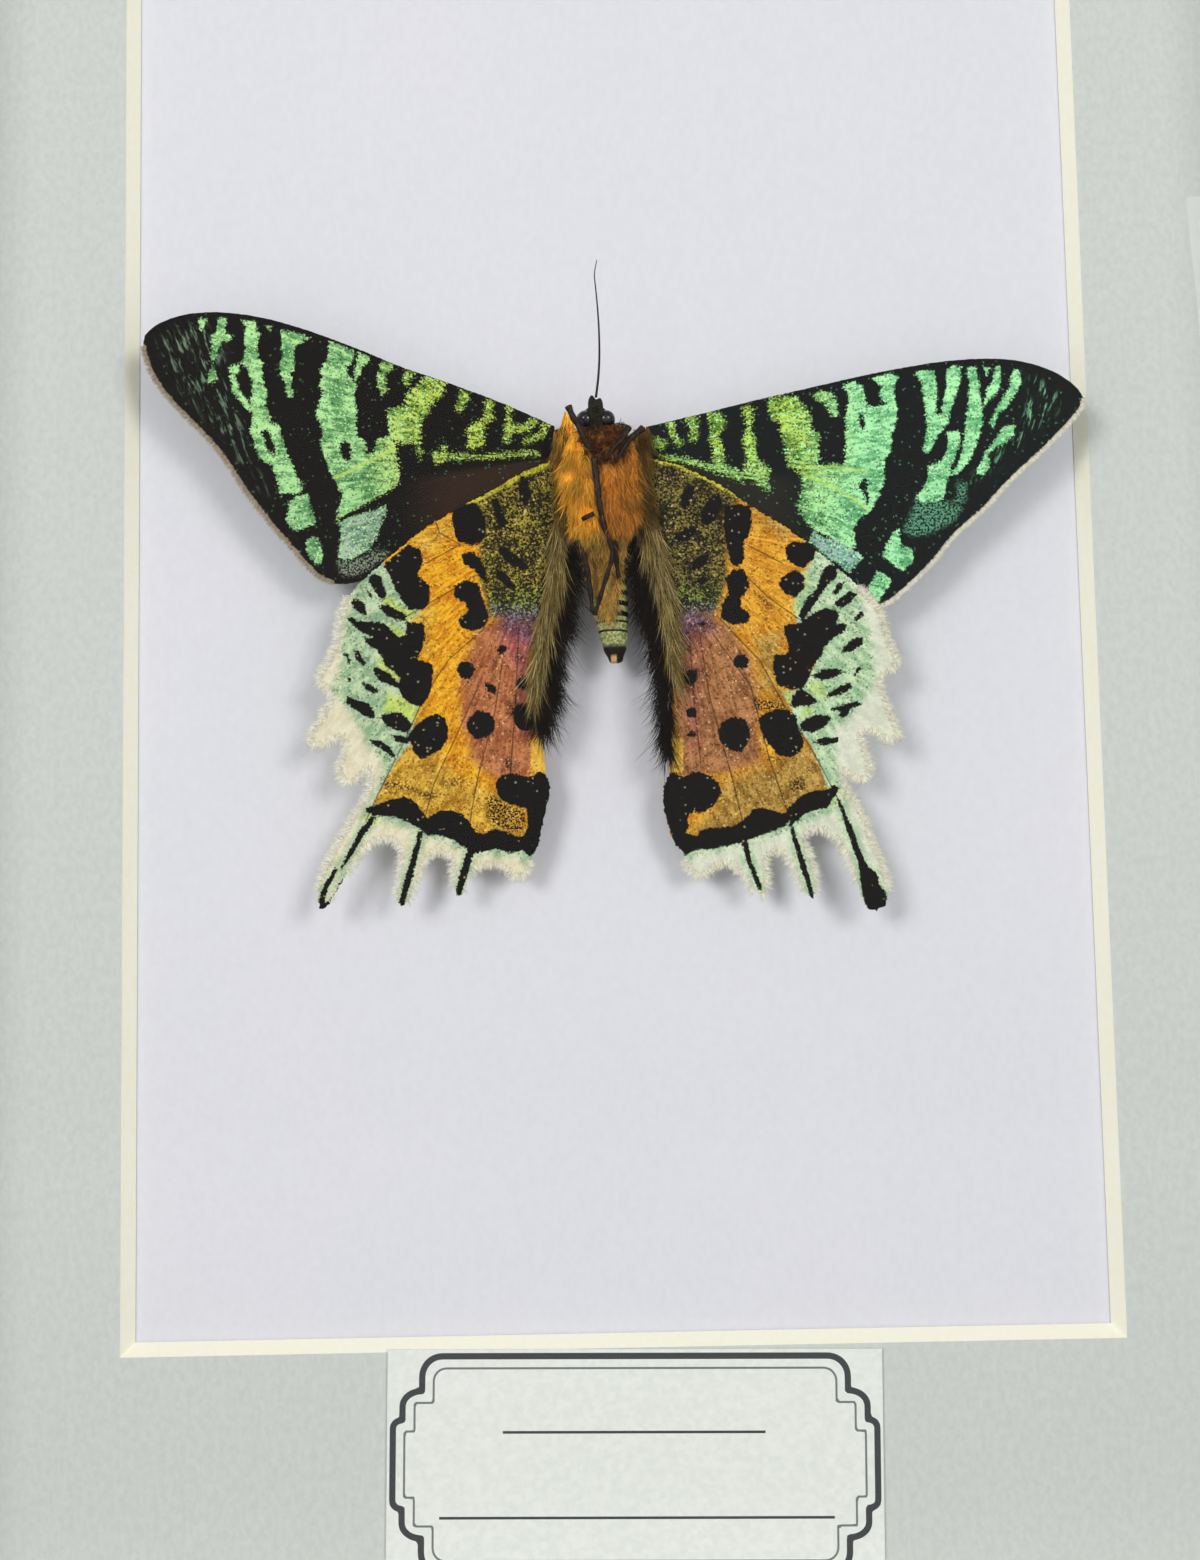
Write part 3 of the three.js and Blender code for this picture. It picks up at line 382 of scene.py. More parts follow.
HIND_LEFT = {
    "ink": [
        [(-15.3, 8.0), (-14.1, 8.4), (-13.1, 8.6), (-12.5, 7.7), (-12.1, 6.8), (-12.1, 5.6), (-12.6, 4.5),
         (-13.5, 4.3), (-14.7, 4.6), (-15.1, 5.4), (-15.4, 6.8)],
        [(-14.5, 3.5), (-13.4, 3.7), (-12.6, 2.9), (-12.1, 1.6), (-12.0, 0.6), (-12.6, 1.0), (-13.3, 1.9),
         (-14.3, 2.5)],
        [(-11.6, 8.9), (-10.9, 9.0), (-10.4, 7.7), (-10.0, 6.5), (-10.4, 5.8), (-10.9, 6.5), (-11.2, 7.6)],
        [(-8.7, 11.2), (-7.9, 10.9), (-7.8, 10.1), (-7.6, 9.2), (-8.1, 8.1), (-8.7, 8.7), (-8.8, 10.1)],
        [(-10.8, 4.3), (-9.9, 3.9), (-8.4, 2.6), (-7.9, 1.9), (-8.6, 1.7), (-10.2, 2.7), (-10.9, 3.6)],
        [(-11.2, 1.8), (-10.3, 1.7), (-9.4, 0.4), (-9.2, -0.3), (-9.9, -0.1), (-10.9, 0.9)],
        [(-14.1, 0.9), (-12.9, 0.5), (-12.6, -0.5), (-12.1, -2.0), (-11.8, -2.9), (-12.4, -3.8),
         (-13.5, -4.2), (-14.6, -3.8), (-14.9, -3.0), (-14.0, -2.3), (-14.1, -1.4), (-15.3, -0.8),
         (-15.3, 0.2)],
        [(-19.7, 4.5), (-18.5, 4.0), (-18.2, 3.0), (-18.8, 1.5), (-17.6, 0.4), (-17.6, -1.1), (-18.2, -1.9),
         (-19.6, -2.0), (-20.3, -1.1), (-21.0, 0.1), (-21.5, 1.5), (-22.2, 2.5), (-21.2, 3.3)],
        [(-25.8, -2.6), (-25.2, -2.6), (-24.5, -3.0), (-23.8, -3.1), (-22.7, -3.0), (-22.0, -3.3),
         (-21.3, -4.0), (-20.6, -4.7), (-20.0, -4.4), (-19.9, -3.2), (-18.2, -3.3), (-18.1, -4.6),
         (-18.3, -5.6), (-18.9, -6.9), (-18.0, -7.1), (-17.4, -7.4), (-17.4, -9.2), (-17.9, -10.7),
         (-18.5, -11.5), (-19.6, -11.2), (-20.4, -10.5), (-20.7, -9.7), (-21.7, -9.3), (-22.7, -8.8),
         (-23.2, -8.0), (-23.1, -7.5), (-22.3, -7.8), (-21.4, -8.3), (-20.7, -9.1), (-20.5, -8.9),
         (-21.2, -8.0), (-22.0, -7.5), (-22.3, -6.5), (-22.9, -5.8), (-23.7, -5.4), (-24.2, -4.5),
         (-23.2, -4.7), (-24.4, -4.0), (-24.8, -3.7)],
        [(-23.7, 1.3), (-23.0, 1.7), (-22.3, 1.3), (-22.1, 0.5), (-21.8, -0.5), (-22.0, -0.9),
         (-22.5, -0.8), (-23.0, 0.0), (-23.5, 0.8)],
        [(-22.6, -1.6), (-22.0, -1.4), (-21.4, -1.6), (-20.7, -2.0), (-20.0, -2.3), (-19.9, -3.0),
         (-20.9, -2.9), (-21.9, -2.5)],
        [(-23.9, 0.2), (-23.3, -0.3), (-23.1, -0.8), (-23.6, -0.6)],
        [(-25.1, -0.8), (-24.7, -0.8), (-23.9, -1.3), (-23.8, -2.5), (-24.3, -2.3), (-25.0, -1.8),
         (-25.3, -1.2)],
        [(-25.1, -5.8), (-24.6, -5.9), (-24.3, -6.5), (-23.7, -7.3), (-24.2, -7.4), (-24.8, -6.8)],
        [(-26.1, -6.0), (-25.6, -6.2), (-25.3, -7.0), (-25.6, -7.1)],
        [(-24.3, -9.0), (-23.6, -9.2), (-22.5, -9.9), (-23.1, -10.1), (-23.9, -9.8)],
        [(-25.9, -8.5), (-25.5, -8.5), (-25.2, -8.9), (-25.6, -8.9)],
        [(-25.6, -10.3), (-24.8, -10.7), (-23.7, -11.0), (-23.1, -11.9), (-23.0, -12.6), (-24.0, -12.4),
         (-24.9, -11.7), (-25.9, -11.0)],
        [(-22.5, -12.3), (-21.6, -12.0), (-20.5, -12.0), (-19.8, -12.8), (-19.4, -13.2), (-19.9, -14.0),
         (-20.9, -13.8), (-22.0, -13.3)],
        [(-21.6, -14.2), (-20.6, -14.3), (-19.8, -14.5), (-19.9, -15.1), (-20.9, -14.9)],
        [(-23.7, -14.6), (-22.4, -14.8), (-21.7, -15.3), (-21.1, -16.2), (-21.3, -16.5), (-22.4, -15.6),
         (-23.3, -15.0)],
        [(-19.9, -14.5), (-19.5, -13.7), (-18.7, -13.0), (-17.9, -12.5), (-17.0, -12.2), (-16.2, -12.7),
         (-16.0, -13.7), (-16.0, -14.7), (-16.6, -15.6), (-17.7, -16.3), (-18.6, -16.6), (-19.3, -16.0),
         (-19.5, -15.3)],
        [(-14.2, -13.2), (-13.8, -12.5), (-13.1, -11.9), (-12.0, -12.2), (-11.4, -13.0), (-11.5, -14.0),
         (-12.2, -14.6), (-13.2, -14.8), (-14.0, -14.1)],
        [(-9.7, -12.2), (-9.2, -11.4), (-8.2, -11.3), (-7.5, -12.2), (-7.5, -13.2), (-8.2, -14.1),
         (-9.0, -14.0), (-9.6, -13.2)],
        [(-15.1, -8.0), (-14.8, -7.3), (-14.1, -7.1), (-13.5, -7.4), (-13.3, -8.1), (-13.7, -8.8),
         (-14.5, -8.9)],
        [(-11.3, -5.9), (-10.7, -5.6), (-10.1, -5.8), (-10.4, -6.4), (-11.0, -6.5)],
        [(-12.4, -9.3), (-11.7, -9.3), (-11.2, -9.8), (-11.4, -10.4), (-12.1, -10.1)],
        [(-9.3, -9.1), (-8.7, -8.7), (-7.8, -8.7), (-7.6, -9.7), (-8.4, -10.1), (-9.1, -9.9)],
        [(-11.5, -19.1), (-11.0, -18.4), (-10.0, -18.1), (-9.0, -18.3), (-8.1, -18.5), (-7.0, -18.0),
         (-6.1, -18.7), (-6.0, -19.5), (-6.5, -21.5), (-6.9, -23.7), (-7.4, -25.4), (-8.2, -26.3),
         (-9.0, -25.6), (-10.0, -25.8), (-11.6, -25.4), (-13.5, -25.8), (-14.6, -25.2), (-15.9, -24.3),
         (-17.0, -24.0), (-18.1, -24.0), (-18.7, -23.4), (-19.8, -22.8), (-21.1, -22.2), (-22.9, -22.0),
         (-24.0, -21.7), (-24.1, -21.2), (-22.9, -21.0), (-21.8, -20.5), (-20.3, -20.2), (-19.4, -20.6),
         (-18.7, -21.5), (-18.1, -22.3), (-17.0, -21.7), (-15.9, -21.6), (-14.8, -21.9), (-14.0, -22.8),
         (-13.3, -23.9), (-12.4, -23.8), (-11.6, -23.4), (-10.3, -23.8), (-9.2, -24.3), (-8.7, -24.1),
         (-8.4, -23.2), (-8.5, -21.6), (-9.6, -21.3), (-10.7, -20.8), (-11.3, -20.2)],
        [(-18.9, -23.6), (-18.4, -23.6), (-19.2, -26.5), (-19.8, -28.8), (-20.4, -30.8), (-20.9, -30.6),
         (-20.3, -28.0), (-19.5, -25.6)],
        [(-14.2, -25.3), (-13.6, -25.4), (-14.1, -27.5), (-15.0, -29.9), (-15.5, -29.8), (-15.1, -28.0),
         (-14.6, -26.4)],
        [(-23.3, -21.9), (-22.9, -22.2), (-24.2, -23.9), (-25.3, -25.8), (-26.3, -27.2), (-26.6, -27.0),
         (-25.6, -25.3), (-24.6, -23.4)],
        [(-26.2, -27.3), (-26.0, -27.5), (-26.6, -29.1), (-27.5, -30.9), (-27.8, -30.7), (-26.9, -29.0)],
        [(-26.9, -26.8), (-26.7, -27.2), (-27.7, -29.0), (-28.0, -30.2), (-27.4, -30.2), (-27.2, -30.6),
         (-28.1, -31.3), (-28.8, -30.6), (-28.2, -28.9)],
    ],
    "smoke": [
        [(-12.4, -20.2), (-11.3, -20.2), (-10.7, -20.8), (-9.6, -21.3), (-8.5, -21.6), (-8.4, -23.2),
         (-9.2, -24.2), (-10.3, -23.8), (-11.6, -23.4), (-12.5, -22.4)],
        [(-16.9, -18.9), (-15.2, -18.5), (-14.3, -18.2), (-14.4, -18.9), (-16.6, -19.4)],
        [(-22.6, -18.4), (-20.8, -18.7), (-18.4, -19.7), (-16.2, -20.0), (-18.0, -20.6), (-20.0, -19.6),
         (-22.2, -19.4)],
        [(-10.3, -11.3), (-9.3, -11.0), (-8.8, -12.0), (-9.3, -12.9), (-10.3, -12.8)],
        [(-10.6, -16.6), (-9.9, -16.4), (-9.9, -17.9), (-10.9, -17.9)],
        [(-9.5, -6.6), (-8.8, -6.4), (-8.4, -7.2), (-9.2, -7.5)],
        [(-11.5, -6.8), (-11.1, -6.8), (-11.5, -9.0), (-11.8, -9.0)],
    ],
    "olive": [
        [(-15.0, 8.6), (-12.8, 6.0), (-12.8, 2.6), (-12.5, -0.2), (-11.9, -2.6), (-10.2, -3.0),
         (-7.0, -3.3), (-4.5, -3.6), (-4.5, 14.0), (-9.0, 12.0)],
    ],
    "violet": [[(-11.6, -1.9), (-6.6, -2.2), (-6.6, -5.6), (-9.0, -5.0), (-10.8, -4.2)]],
    "costa": [[(-4.8, 12.8), (-8.6, 11.2), (-11.4, 9.8), (-14.0, 8.5)]],
    "copper": [
        [(-12.6, -3.6), (-11.0, -3.1), (-8.0, -3.5), (-7.4, -8.0), (-7.6, -14.0), (-7.6, -18.6),
         (-11.5, -18.8), (-13.8, -16.4), (-14.6, -13.0), (-14.9, -10.0), (-14.4, -7.5), (-13.4, -5.0)],
    ],
    "rose": [[(-10.0, -3.2), (-8.0, -3.5), (-7.4, -8.0), (-7.6, -14.5), (-8.8, -14.5), (-9.3, -8.5),
              (-10.8, -5.0)]],
    "gold": [
        [(-19.6, 4.6), (-15.6, 7.4), (-15.2, 5.6), (-17.4, 4.2), (-18.4, 2.6), (-19.4, 3.6)],
        [(-20.2, -1.6), (-17.6, -1.6), (-17.6, -6.2), (-20.6, -5.2)],
        [(-21.0, -11.0), (-18.6, -11.4), (-16.4, -16.8), (-14.6, -18.8), (-11.0, -19.8), (-9.4, -22.0),
         (-8.2, -24.6), (-14.0, -24.0), (-24.4, -21.6), (-21.6, -16.0)],
    ],
    "mint": [
        [(-22.6, 3.2), (-21.6, 1.6), (-21.0, 0.2), (-20.2, -1.2), (-18.8, -2.2), (-18.7, -2.5),
         (-19.9, -2.9), (-20.2, -4.2), (-19.9, -4.8), (-20.9, -5.8), (-20.8, -9.8), (-20.2, -11.2),
         (-18.9, -11.6), (-19.6, -13.4), (-19.8, -15.2), (-21.0, -16.8), (-22.2, -18.8), (-23.3, -20.8),
         (-24.6, -22.4), (-30.0, -24.0), (-32.0, -10.0), (-29.0, 2.0)],
        [(-24.2, -21.7), (-21.0, -21.8), (-18.0, -23.4), (-8.0, -25.2), (-6.0, -29.0), (-12.0, -33.0),
         (-30.0, -33.0), (-30.0, -24.0)],
    ],
    "lime": [
        [(-22.6, -0.2), (-21.6, -0.6), (-20.6, -1.6), (-18.7, -2.3), (-19.9, -3.0), (-21.6, -2.2)],
        [(-21.4, -3.4), (-20.0, -4.2), (-20.2, -4.9), (-21.3, -4.5)],
        [(-22.6, -6.4), (-21.8, -7.2), (-20.6, -8.6), (-21.0, -9.4), (-22.6, -7.6)],
        [(-21.8, -10.2), (-20.4, -10.6), (-18.8, -11.6), (-19.6, -13.2), (-21.0, -12.0), (-22.4, -12.2)],
        [(-24.4, -22.0), (-22.6, -22.2), (-22.8, -23.4), (-24.0, -23.2)],
    ],
    "cream": [
        [(-27.2, -10.0), (-25.6, -11.6), (-24.6, -13.4), (-23.4, -15.6), (-22.2, -17.6), (-23.2, -20.4),
         (-24.4, -22.2), (-23.6, -23.0), (-22.6, -22.6), (-20.8, -22.9), (-19.6, -23.6), (-18.4, -24.4),
         (-16.0, -24.8), (-14.4, -25.8), (-12.0, -25.9), (-9.8, -26.3), (-8.4, -26.8), (-6.0, -29.0),
         (-12.0, -33.0), (-32.0, -33.0), (-32.0, -10.0)],
        [(-24.8, 0.6), (-26.1, -4.0), (-26.6, -7.6), (-27.6, -10.6), (-30.0, -9.0), (-28.0, -2.0),
         (-26.0, 1.0)],
    ],
    "strip": [[(-8.0, -14.8), (-6.5, -14.8), (-6.4, -18.1), (-7.2, -18.1), (-8.1, -18.5)]],
    "vein": [
        [(-12.6, 1.6), (-16.0, -0.4), (-20.4, -2.9)],
        [(-14.6, 4.4), (-16.6, 5.6), (-17.0, 6.8)],
        [(-14.6, 4.4), (-17.2, 3.0), (-19.0, 2.0)],
        [(-12.4, -4.0), (-15.8, -6.9), (-18.2, -10.4), (-20.0, -14.4), (-23.0, -20.4), (-24.4, -23.4),
         (-27.6, -29.4)],
        [(-13.0, -9.6), (-15.0, -14.0), (-17.4, -19.0), (-18.4, -22.6)],
        [(-10.6, -7.0), (-11.4, -12.0), (-13.2, -18.6), (-14.2, -24.0)],
        [(-9.0, -4.0), (-9.4, -11.0), (-10.0, -18.0)],
    ],
}
HIND_RIGHT = {
    "ink": [
        [(11.2, 7.7), (12.7, 8.0), (13.9, 7.7), (14.0, 6.2), (13.6, 4.8), (13.1, 4.2), (13.1, 2.4),
         (12.4, 1.7), (11.8, 2.1), (11.4, 3.9), (11.2, 5.4)],
        [(7.1, 8.9), (7.7, 9.8), (8.4, 9.9), (8.3, 8.9), (7.6, 7.7), (7.0, 7.7)],
        [(9.0, 7.4), (9.9, 8.6), (10.9, 8.9), (11.1, 8.0), (10.4, 6.5), (9.5, 5.8), (9.0, 6.2)],
        [(6.1, 4.2), (6.5, 5.1), (7.7, 5.6), (8.6, 5.8), (8.4, 5.1), (7.1, 4.3)],
        [(7.7, 1.5), (8.4, 2.7), (9.6, 3.1), (9.6, 2.6), (8.6, 1.4)],
        [(8.0, 0.2), (9.0, 0.8), (9.6, 0.5), (8.9, 0.1)],
        [(11.2, 0.6), (12.1, 1.5), (13.0, 1.5), (13.4, 0.6), (13.6, -0.2), (12.7, -1.4), (12.7, -2.3),
         (13.6, -3.0), (13.3, -3.8), (11.8, -4.0), (10.6, -3.3), (10.8, -2.0), (11.5, -0.8)],
        [(17.1, 3.6), (18.0, 4.2), (19.5, 4.0), (20.2, 3.3), (19.9, 2.4), (18.9, 1.5), (18.0, 1.8),
         (17.3, 2.4)],
        [(16.7, 0.6), (18.0, 1.4), (19.0, 0.6), (18.9, -0.5), (18.0, -1.4), (17.0, -1.0), (16.4, -0.1)],
        [(21.2, 1.8), (22.3, 1.7), (22.1, 0.6), (21.2, -0.2), (20.1, -1.7), (18.6, -3.8), (18.3, -3.2),
         (18.9, -1.7), (20.1, -0.5), (20.6, 0.9)],
        [(21.6, -1.1), (22.1, -0.1), (22.9, 0.1), (22.6, -0.6), (22.0, -1.3)],
        [(21.7, -2.3), (22.2, -1.6), (23.4, -0.8), (24.0, -1.2), (23.4, -2.0), (22.6, -2.5)],
        [(23.4, -3.9), (23.9, -3.3), (24.4, -2.8), (24.6, -3.3), (24.0, -3.8)],
        [(16.8, -4.1), (18.4, -3.9), (19.6, -3.0), (20.9, -2.4), (22.0, -2.7), (22.2, -3.3), (21.9, -4.0),
         (23.1, -4.1), (22.6, -4.9), (21.4, -5.6), (20.7, -6.3), (20.4, -7.2), (19.7, -8.0), (19.1, -9.3),
         (18.6, -10.3), (17.4, -10.5), (15.9, -9.9), (15.6, -8.3), (15.8, -7.0), (17.1, -6.9), (17.2, -6.0),
         (16.8, -5.0)],
        [(22.2, -7.0), (22.6, -6.3), (23.4, -5.6), (24.5, -5.4), (24.4, -6.1), (23.4, -6.8)],
        [(19.2, -9.2), (20.6, -8.5), (21.7, -8.4), (22.6, -8.8), (21.6, -9.3), (20.4, -9.6)],
        [(23.4, -9.2), (23.9, -8.3), (24.5, -8.1), (24.1, -8.7), (23.6, -9.3)],
        [(20.7, -11.3), (21.0, -10.8), (22.1, -10.2), (23.1, -9.9), (23.4, -10.3), (22.6, -10.8),
         (21.6, -11.2)],
        [(21.0, -12.5), (22.2, -12.0), (23.7, -11.7), (24.2, -12.0), (23.0, -12.5), (22.7, -13.2),
         (21.6, -13.4), (22.1, -12.7)],
        [(17.2, -11.9), (17.5, -11.0), (18.2, -10.3), (19.2, -10.9), (19.9, -11.6), (19.0, -12.1),
         (18.2, -12.0), (17.6, -12.3)],
        [(18.0, -13.9), (18.7, -13.3), (19.8, -12.9), (20.9, -13.0), (21.2, -13.4), (20.3, -14.3),
         (19.2, -14.7), (18.3, -14.5)],
        [(19.2, -15.6), (20.5, -15.1), (22.0, -15.3), (21.6, -15.7), (20.3, -16.0)],
        [(14.1, -13.2), (15.0, -12.6), (16.1, -12.3), (17.2, -12.5), (17.9, -13.2), (17.8, -14.1),
         (18.5, -15.4), (18.1, -16.5), (17.2, -17.1), (15.9, -16.9), (15.3, -16.0), (14.6, -15.2),
         (14.2, -14.3)],
        [(10.1, -14.3), (10.6, -13.4), (11.6, -13.0), (12.7, -13.2), (13.3, -14.2), (13.1, -15.4),
         (12.4, -16.5), (11.3, -16.3), (10.4, -15.5)],
        [(11.8, -7.4), (12.3, -6.9), (12.9, -6.9), (13.3, -7.5), (13.1, -8.2), (12.4, -8.3), (11.9, -8.0)],
        [(6.9, -9.0), (7.4, -8.4), (8.2, -8.4), (8.3, -9.2), (7.8, -9.8), (7.0, -9.6)],
        [(7.0, -12.4), (7.6, -12.0), (8.2, -12.3), (8.1, -13.0), (7.3, -13.0)],
        [(7.0, -14.6), (7.6, -14.3), (8.1, -14.5), (7.9, -14.9), (7.2, -14.9)],
        [(8.4, -3.8), (8.9, -3.5), (9.3, -3.8), (8.9, -4.1)],
        [(4.9, -18.7), (5.7, -18.3), (6.7, -18.8), (7.4, -18.4), (8.3, -18.3), (9.4, -18.8), (10.2, -19.5),
         (10.3, -20.6), (9.6, -21.7), (8.5, -22.2), (7.4, -22.3), (7.0, -22.8), (7.1, -23.7), (6.7, -24.2),
         (7.9, -24.5), (8.1, -24.0), (9.2, -23.7), (10.7, -23.7), (11.8, -23.4), (12.9, -22.6),
         (13.5, -21.9), (14.8, -22.0), (16.3, -22.5), (17.0, -21.7), (18.1, -20.8), (19.4, -20.3),
         (20.7, -20.2), (21.3, -19.8), (21.7, -20.2), (21.2, -21.0), (20.5, -22.1), (19.4, -22.2),
         (18.3, -22.6), (17.7, -23.2), (16.8, -23.4), (15.9, -24.0), (14.8, -24.3), (13.7, -24.7),
         (12.4, -25.2), (10.7, -25.5), (9.2, -25.8), (7.9, -25.8), (6.5, -26.5), (5.7, -25.4), (5.1, -23.4),
         (4.6, -22.1), (4.6, -20.2)],
        [(21.4, -21.2), (21.8, -21.2), (22.3, -22.8), (23.1, -24.5), (23.6, -26.3), (24.2, -27.6),
         (25.0, -28.4), (25.4, -29.5), (26.1, -30.6), (25.8, -31.8), (24.8, -32.3), (24.0, -31.8),
         (23.6, -30.4), (23.4, -28.9), (23.3, -27.4), (22.6, -25.0), (22.0, -23.2)],
        [(16.7, -23.3), (17.1, -23.3), (17.6, -25.2), (18.2, -27.1), (18.7, -29.1), (19.1, -30.9),
         (18.6, -31.0), (18.2, -29.1), (17.6, -27.1), (17.1, -25.2)],
        [(12.2, -25.1), (12.7, -25.1), (13.1, -26.9), (13.6, -28.4), (14.1, -29.8), (13.7, -30.0),
         (13.1, -28.4), (12.5, -26.9)],
    ],
    "smoke": [
        [(13.4, -11.0), (16.0, -11.4), (17.2, -12.4), (15.0, -12.6), (13.6, -12.4)],
        [(6.3, -5.6), (7.6, -5.8), (7.7, -6.7), (6.4, -6.6)],
        [(6.6, -8.0), (8.4, -8.2), (8.4, -10.2), (6.6, -10.2)],
        [(16.6, -19.4), (18.4, -19.0), (18.6, -20.2), (17.0, -20.6)],
        [(14.8, -16.8), (17.0, -17.2), (16.6, -17.7), (15.0, -17.5)],
        [(13.4, -0.6), (15.0, -1.4), (16.4, -2.6), (15.0, -2.2)],
    ],
    "olive": [
        [(3.4, 14.0), (6.8, 12.8), (13.4, 8.8), (11.6, 7.0), (11.5, 2.6), (11.4, 0.6), (10.7, -1.6),
         (10.0, -2.8), (7.0, -3.0), (4.6, -3.2), (3.0, 3.0)],
    ],
    "violet": [[(5.0, -2.2), (10.0, -2.0), (9.8, -4.4), (7.4, -5.4), (5.6, -7.0)]],
    "costa": [[(4.0, 12.8), (6.8, 12.2), (9.8, 10.7), (13.4, 8.5)]],
    "copper": [
        [(5.8, -3.2), (10.4, -3.2), (12.0, -4.6), (13.4, -7.0), (14.2, -11.0), (14.0, -14.0), (14.4, -17.4),
         (10.0, -18.6), (6.3, -18.8), (6.0, -10.0)],
    ],
    "rose": [[(5.8, -3.2), (9.0, -3.2), (9.4, -5.6), (8.6, -9.0), (8.4, -16.0), (7.4, -16.0), (6.4, -8.0)]],
    "gold": [
        [(13.9, 7.6), (15.6, 6.6), (18.2, 5.0), (17.2, 4.4), (15.0, 5.6)],
        [(14.0, -5.4), (17.0, -4.8), (16.0, -7.0), (15.8, -9.8), (17.2, -10.8), (17.4, -12.2),
         (14.4, -10.4)],
        [(20.6, -16.2), (18.6, -15.6), (16.6, -17.4), (14.0, -17.8), (10.6, -19.4), (9.6, -22.0),
         (6.6, -24.8), (13.0, -24.0), (21.8, -20.0)],
    ],
    "mint": [
        [(20.6, 3.6), (20.0, 2.2), (19.2, 1.2), (19.0, -0.4), (18.2, -1.2), (18.0, -2.4), (18.2, -3.8),
         (20.0, -4.2), (20.0, -8.0), (18.8, -10.2), (17.4, -11.0), (17.6, -12.4), (18.0, -14.0),
         (19.0, -15.4), (19.7, -17.4), (20.6, -19.9), (21.8, -20.2), (22.6, -21.6), (30.0, -24.0),
         (31.0, -8.0), (28.0, 0.0)],
        [(21.4, -20.8), (16.8, -23.3), (6.2, -26.0), (5.0, -29.0), (12.0, -33.0), (30.0, -33.0),
         (30.0, -24.0)],
    ],
    "lime": [
        [(17.6, -2.2), (19.2, -0.6), (19.4, 0.6), (18.6, 1.2), (18.2, -3.4)],
        [(16.4, -10.8), (17.4, -10.6), (17.2, -12.0)],
        [(18.2, -12.2), (19.4, -12.2), (19.4, -13.0), (18.2, -13.2)],
        [(19.0, -9.6), (20.6, -9.8), (20.6, -11.6), (19.4, -11.0)],
        [(20.6, -21.4), (22.0, -21.2), (22.6, -24.4), (21.4, -22.8)],
    ],
    "cream": [
        [(25.9, -8.6), (24.8, -10.8), (23.6, -12.6), (21.6, -14.4), (21.4, -16.4), (22.0, -19.6),
         (22.4, -21.4), (21.0, -22.2), (18.8, -23.0), (17.4, -24.2), (14.0, -25.0), (10.0, -26.0),
         (7.6, -26.4), (5.0, -29.0), (12.0, -33.0), (30.0, -33.0), (30.0, -8.0)],
        [(23.6, 0.4), (24.6, -2.4), (25.3, -5.2), (25.6, -9.4), (30.0, -9.0), (27.0, -1.0)],
    ],
    "strip": [[(5.3, -14.8), (6.7, -15.0), (6.7, -18.3), (5.6, -18.3), (5.0, -18.5)]],
    "vein": [
        [(12.9, 1.2), (15.4, -1.4), (18.4, -3.6)],
        [(10.0, 5.0), (12.0, 2.6), (12.9, 1.2)],
        [(13.6, 3.8), (16.8, 2.0)],
        [(10.6, -3.4), (14.4, -7.6), (16.4, -11.6), (19.2, -16.4), (21.4, -20.8), (23.4, -26.0)],
        [(10.0, -5.0), (13.4, -10.0), (15.0, -17.0), (16.8, -22.8)],
        [(8.6, -5.0), (9.4, -11.0), (11.4, -19.0), (12.6, -24.6)],
        [(7.6, -5.0), (7.9, -12.0), (8.4, -17.4)],
    ],
}
HIND_FIELDS = ("ink", "smoke", "olive", "violet", "copper", "rose", "gold", "mint", "lime", "cream", "strip")
FORE_FIELDS = ("pale", "hole", "blue", "dusty", "wisp")


def segment_distance(points, starts, ends):
    """Distance from each point to each segment, and which side of it the point is on."""
    along = ends - starts
    reach = points[:, None, :] - starts[None]
    share = (reach * along).sum(2) / np.maximum((along ** 2).sum(1), TINY ** 2)
    gap = reach - np.clip(share, 0, 1)[:, :, None] * along
    side = along[:, 0] * reach[:, :, 1] - along[:, 1] * reach[:, :, 0]
    return np.sqrt((gap ** 2).sum(2)), side


def inside_distance(points, patch):
    """Distance to a closed outline, positive inside it."""
    starts = np.asarray(patch, float)
    ends = np.roll(starts, -1, axis=0)
    distance = segment_distance(points, starts, ends)[0].min(1)
    crosses = (starts[None, :, 1] > points[:, None, 1]) != (ends[None, :, 1] > points[:, None, 1])
    rise = ends[:, 1] - starts[:, 1]
    rise = np.where(np.abs(rise) < TINY, TINY, rise)
    cut = starts[:, 0] + (points[:, None, 1] - starts[:, 1]) * (ends[:, 0] - starts[:, 0]) / rise
    inside = (crosses & (points[:, None, 0] < cut)).sum(1) % 2 == 1
    return np.where(inside, distance, -distance)


def field(points, patches):
    """Distance to the nearest edge of a set of patches, positive inside any of them."""
    return np.max([inside_distance(points, patch) for patch in patches], axis=0)


def line_field(points, lines):
    """Distance to the nearest of several open lines, with opposite signs on its two sides."""
    best = np.full(len(points), FAR)
    for line in lines:
        row = np.asarray(line, float)
        distance, side = segment_distance(points, row[:-1], row[1:])
        picked = np.arange(len(points)), distance.argmin(1)
        signed = distance[picked] * np.where(side[picked] < 0, -1, 1)
        best = np.where(distance[picked] < np.abs(best), signed, best)
    return best


# Flat pieces: wings and the label. A step is the distance between neighbouring points.
FAR = 50.0
GRID_STEP = 0.25
RIM_STEP = 0.2
# Rows of an even triangular mesh, and the mesh's distance from the rim, as shares of a step
ROW_SHARE, RIM_SHARE = 0.866, 0.45
# How far an outline's points are drawn in at random, along a bare rim and under a fringe
RIM_ROUGH, FRINGE_ROUGH = 0.05, 0.2
WING_SKIN = 0.12
WING_RELIEF = 0.12
VEIN_WIDTH = 0.22
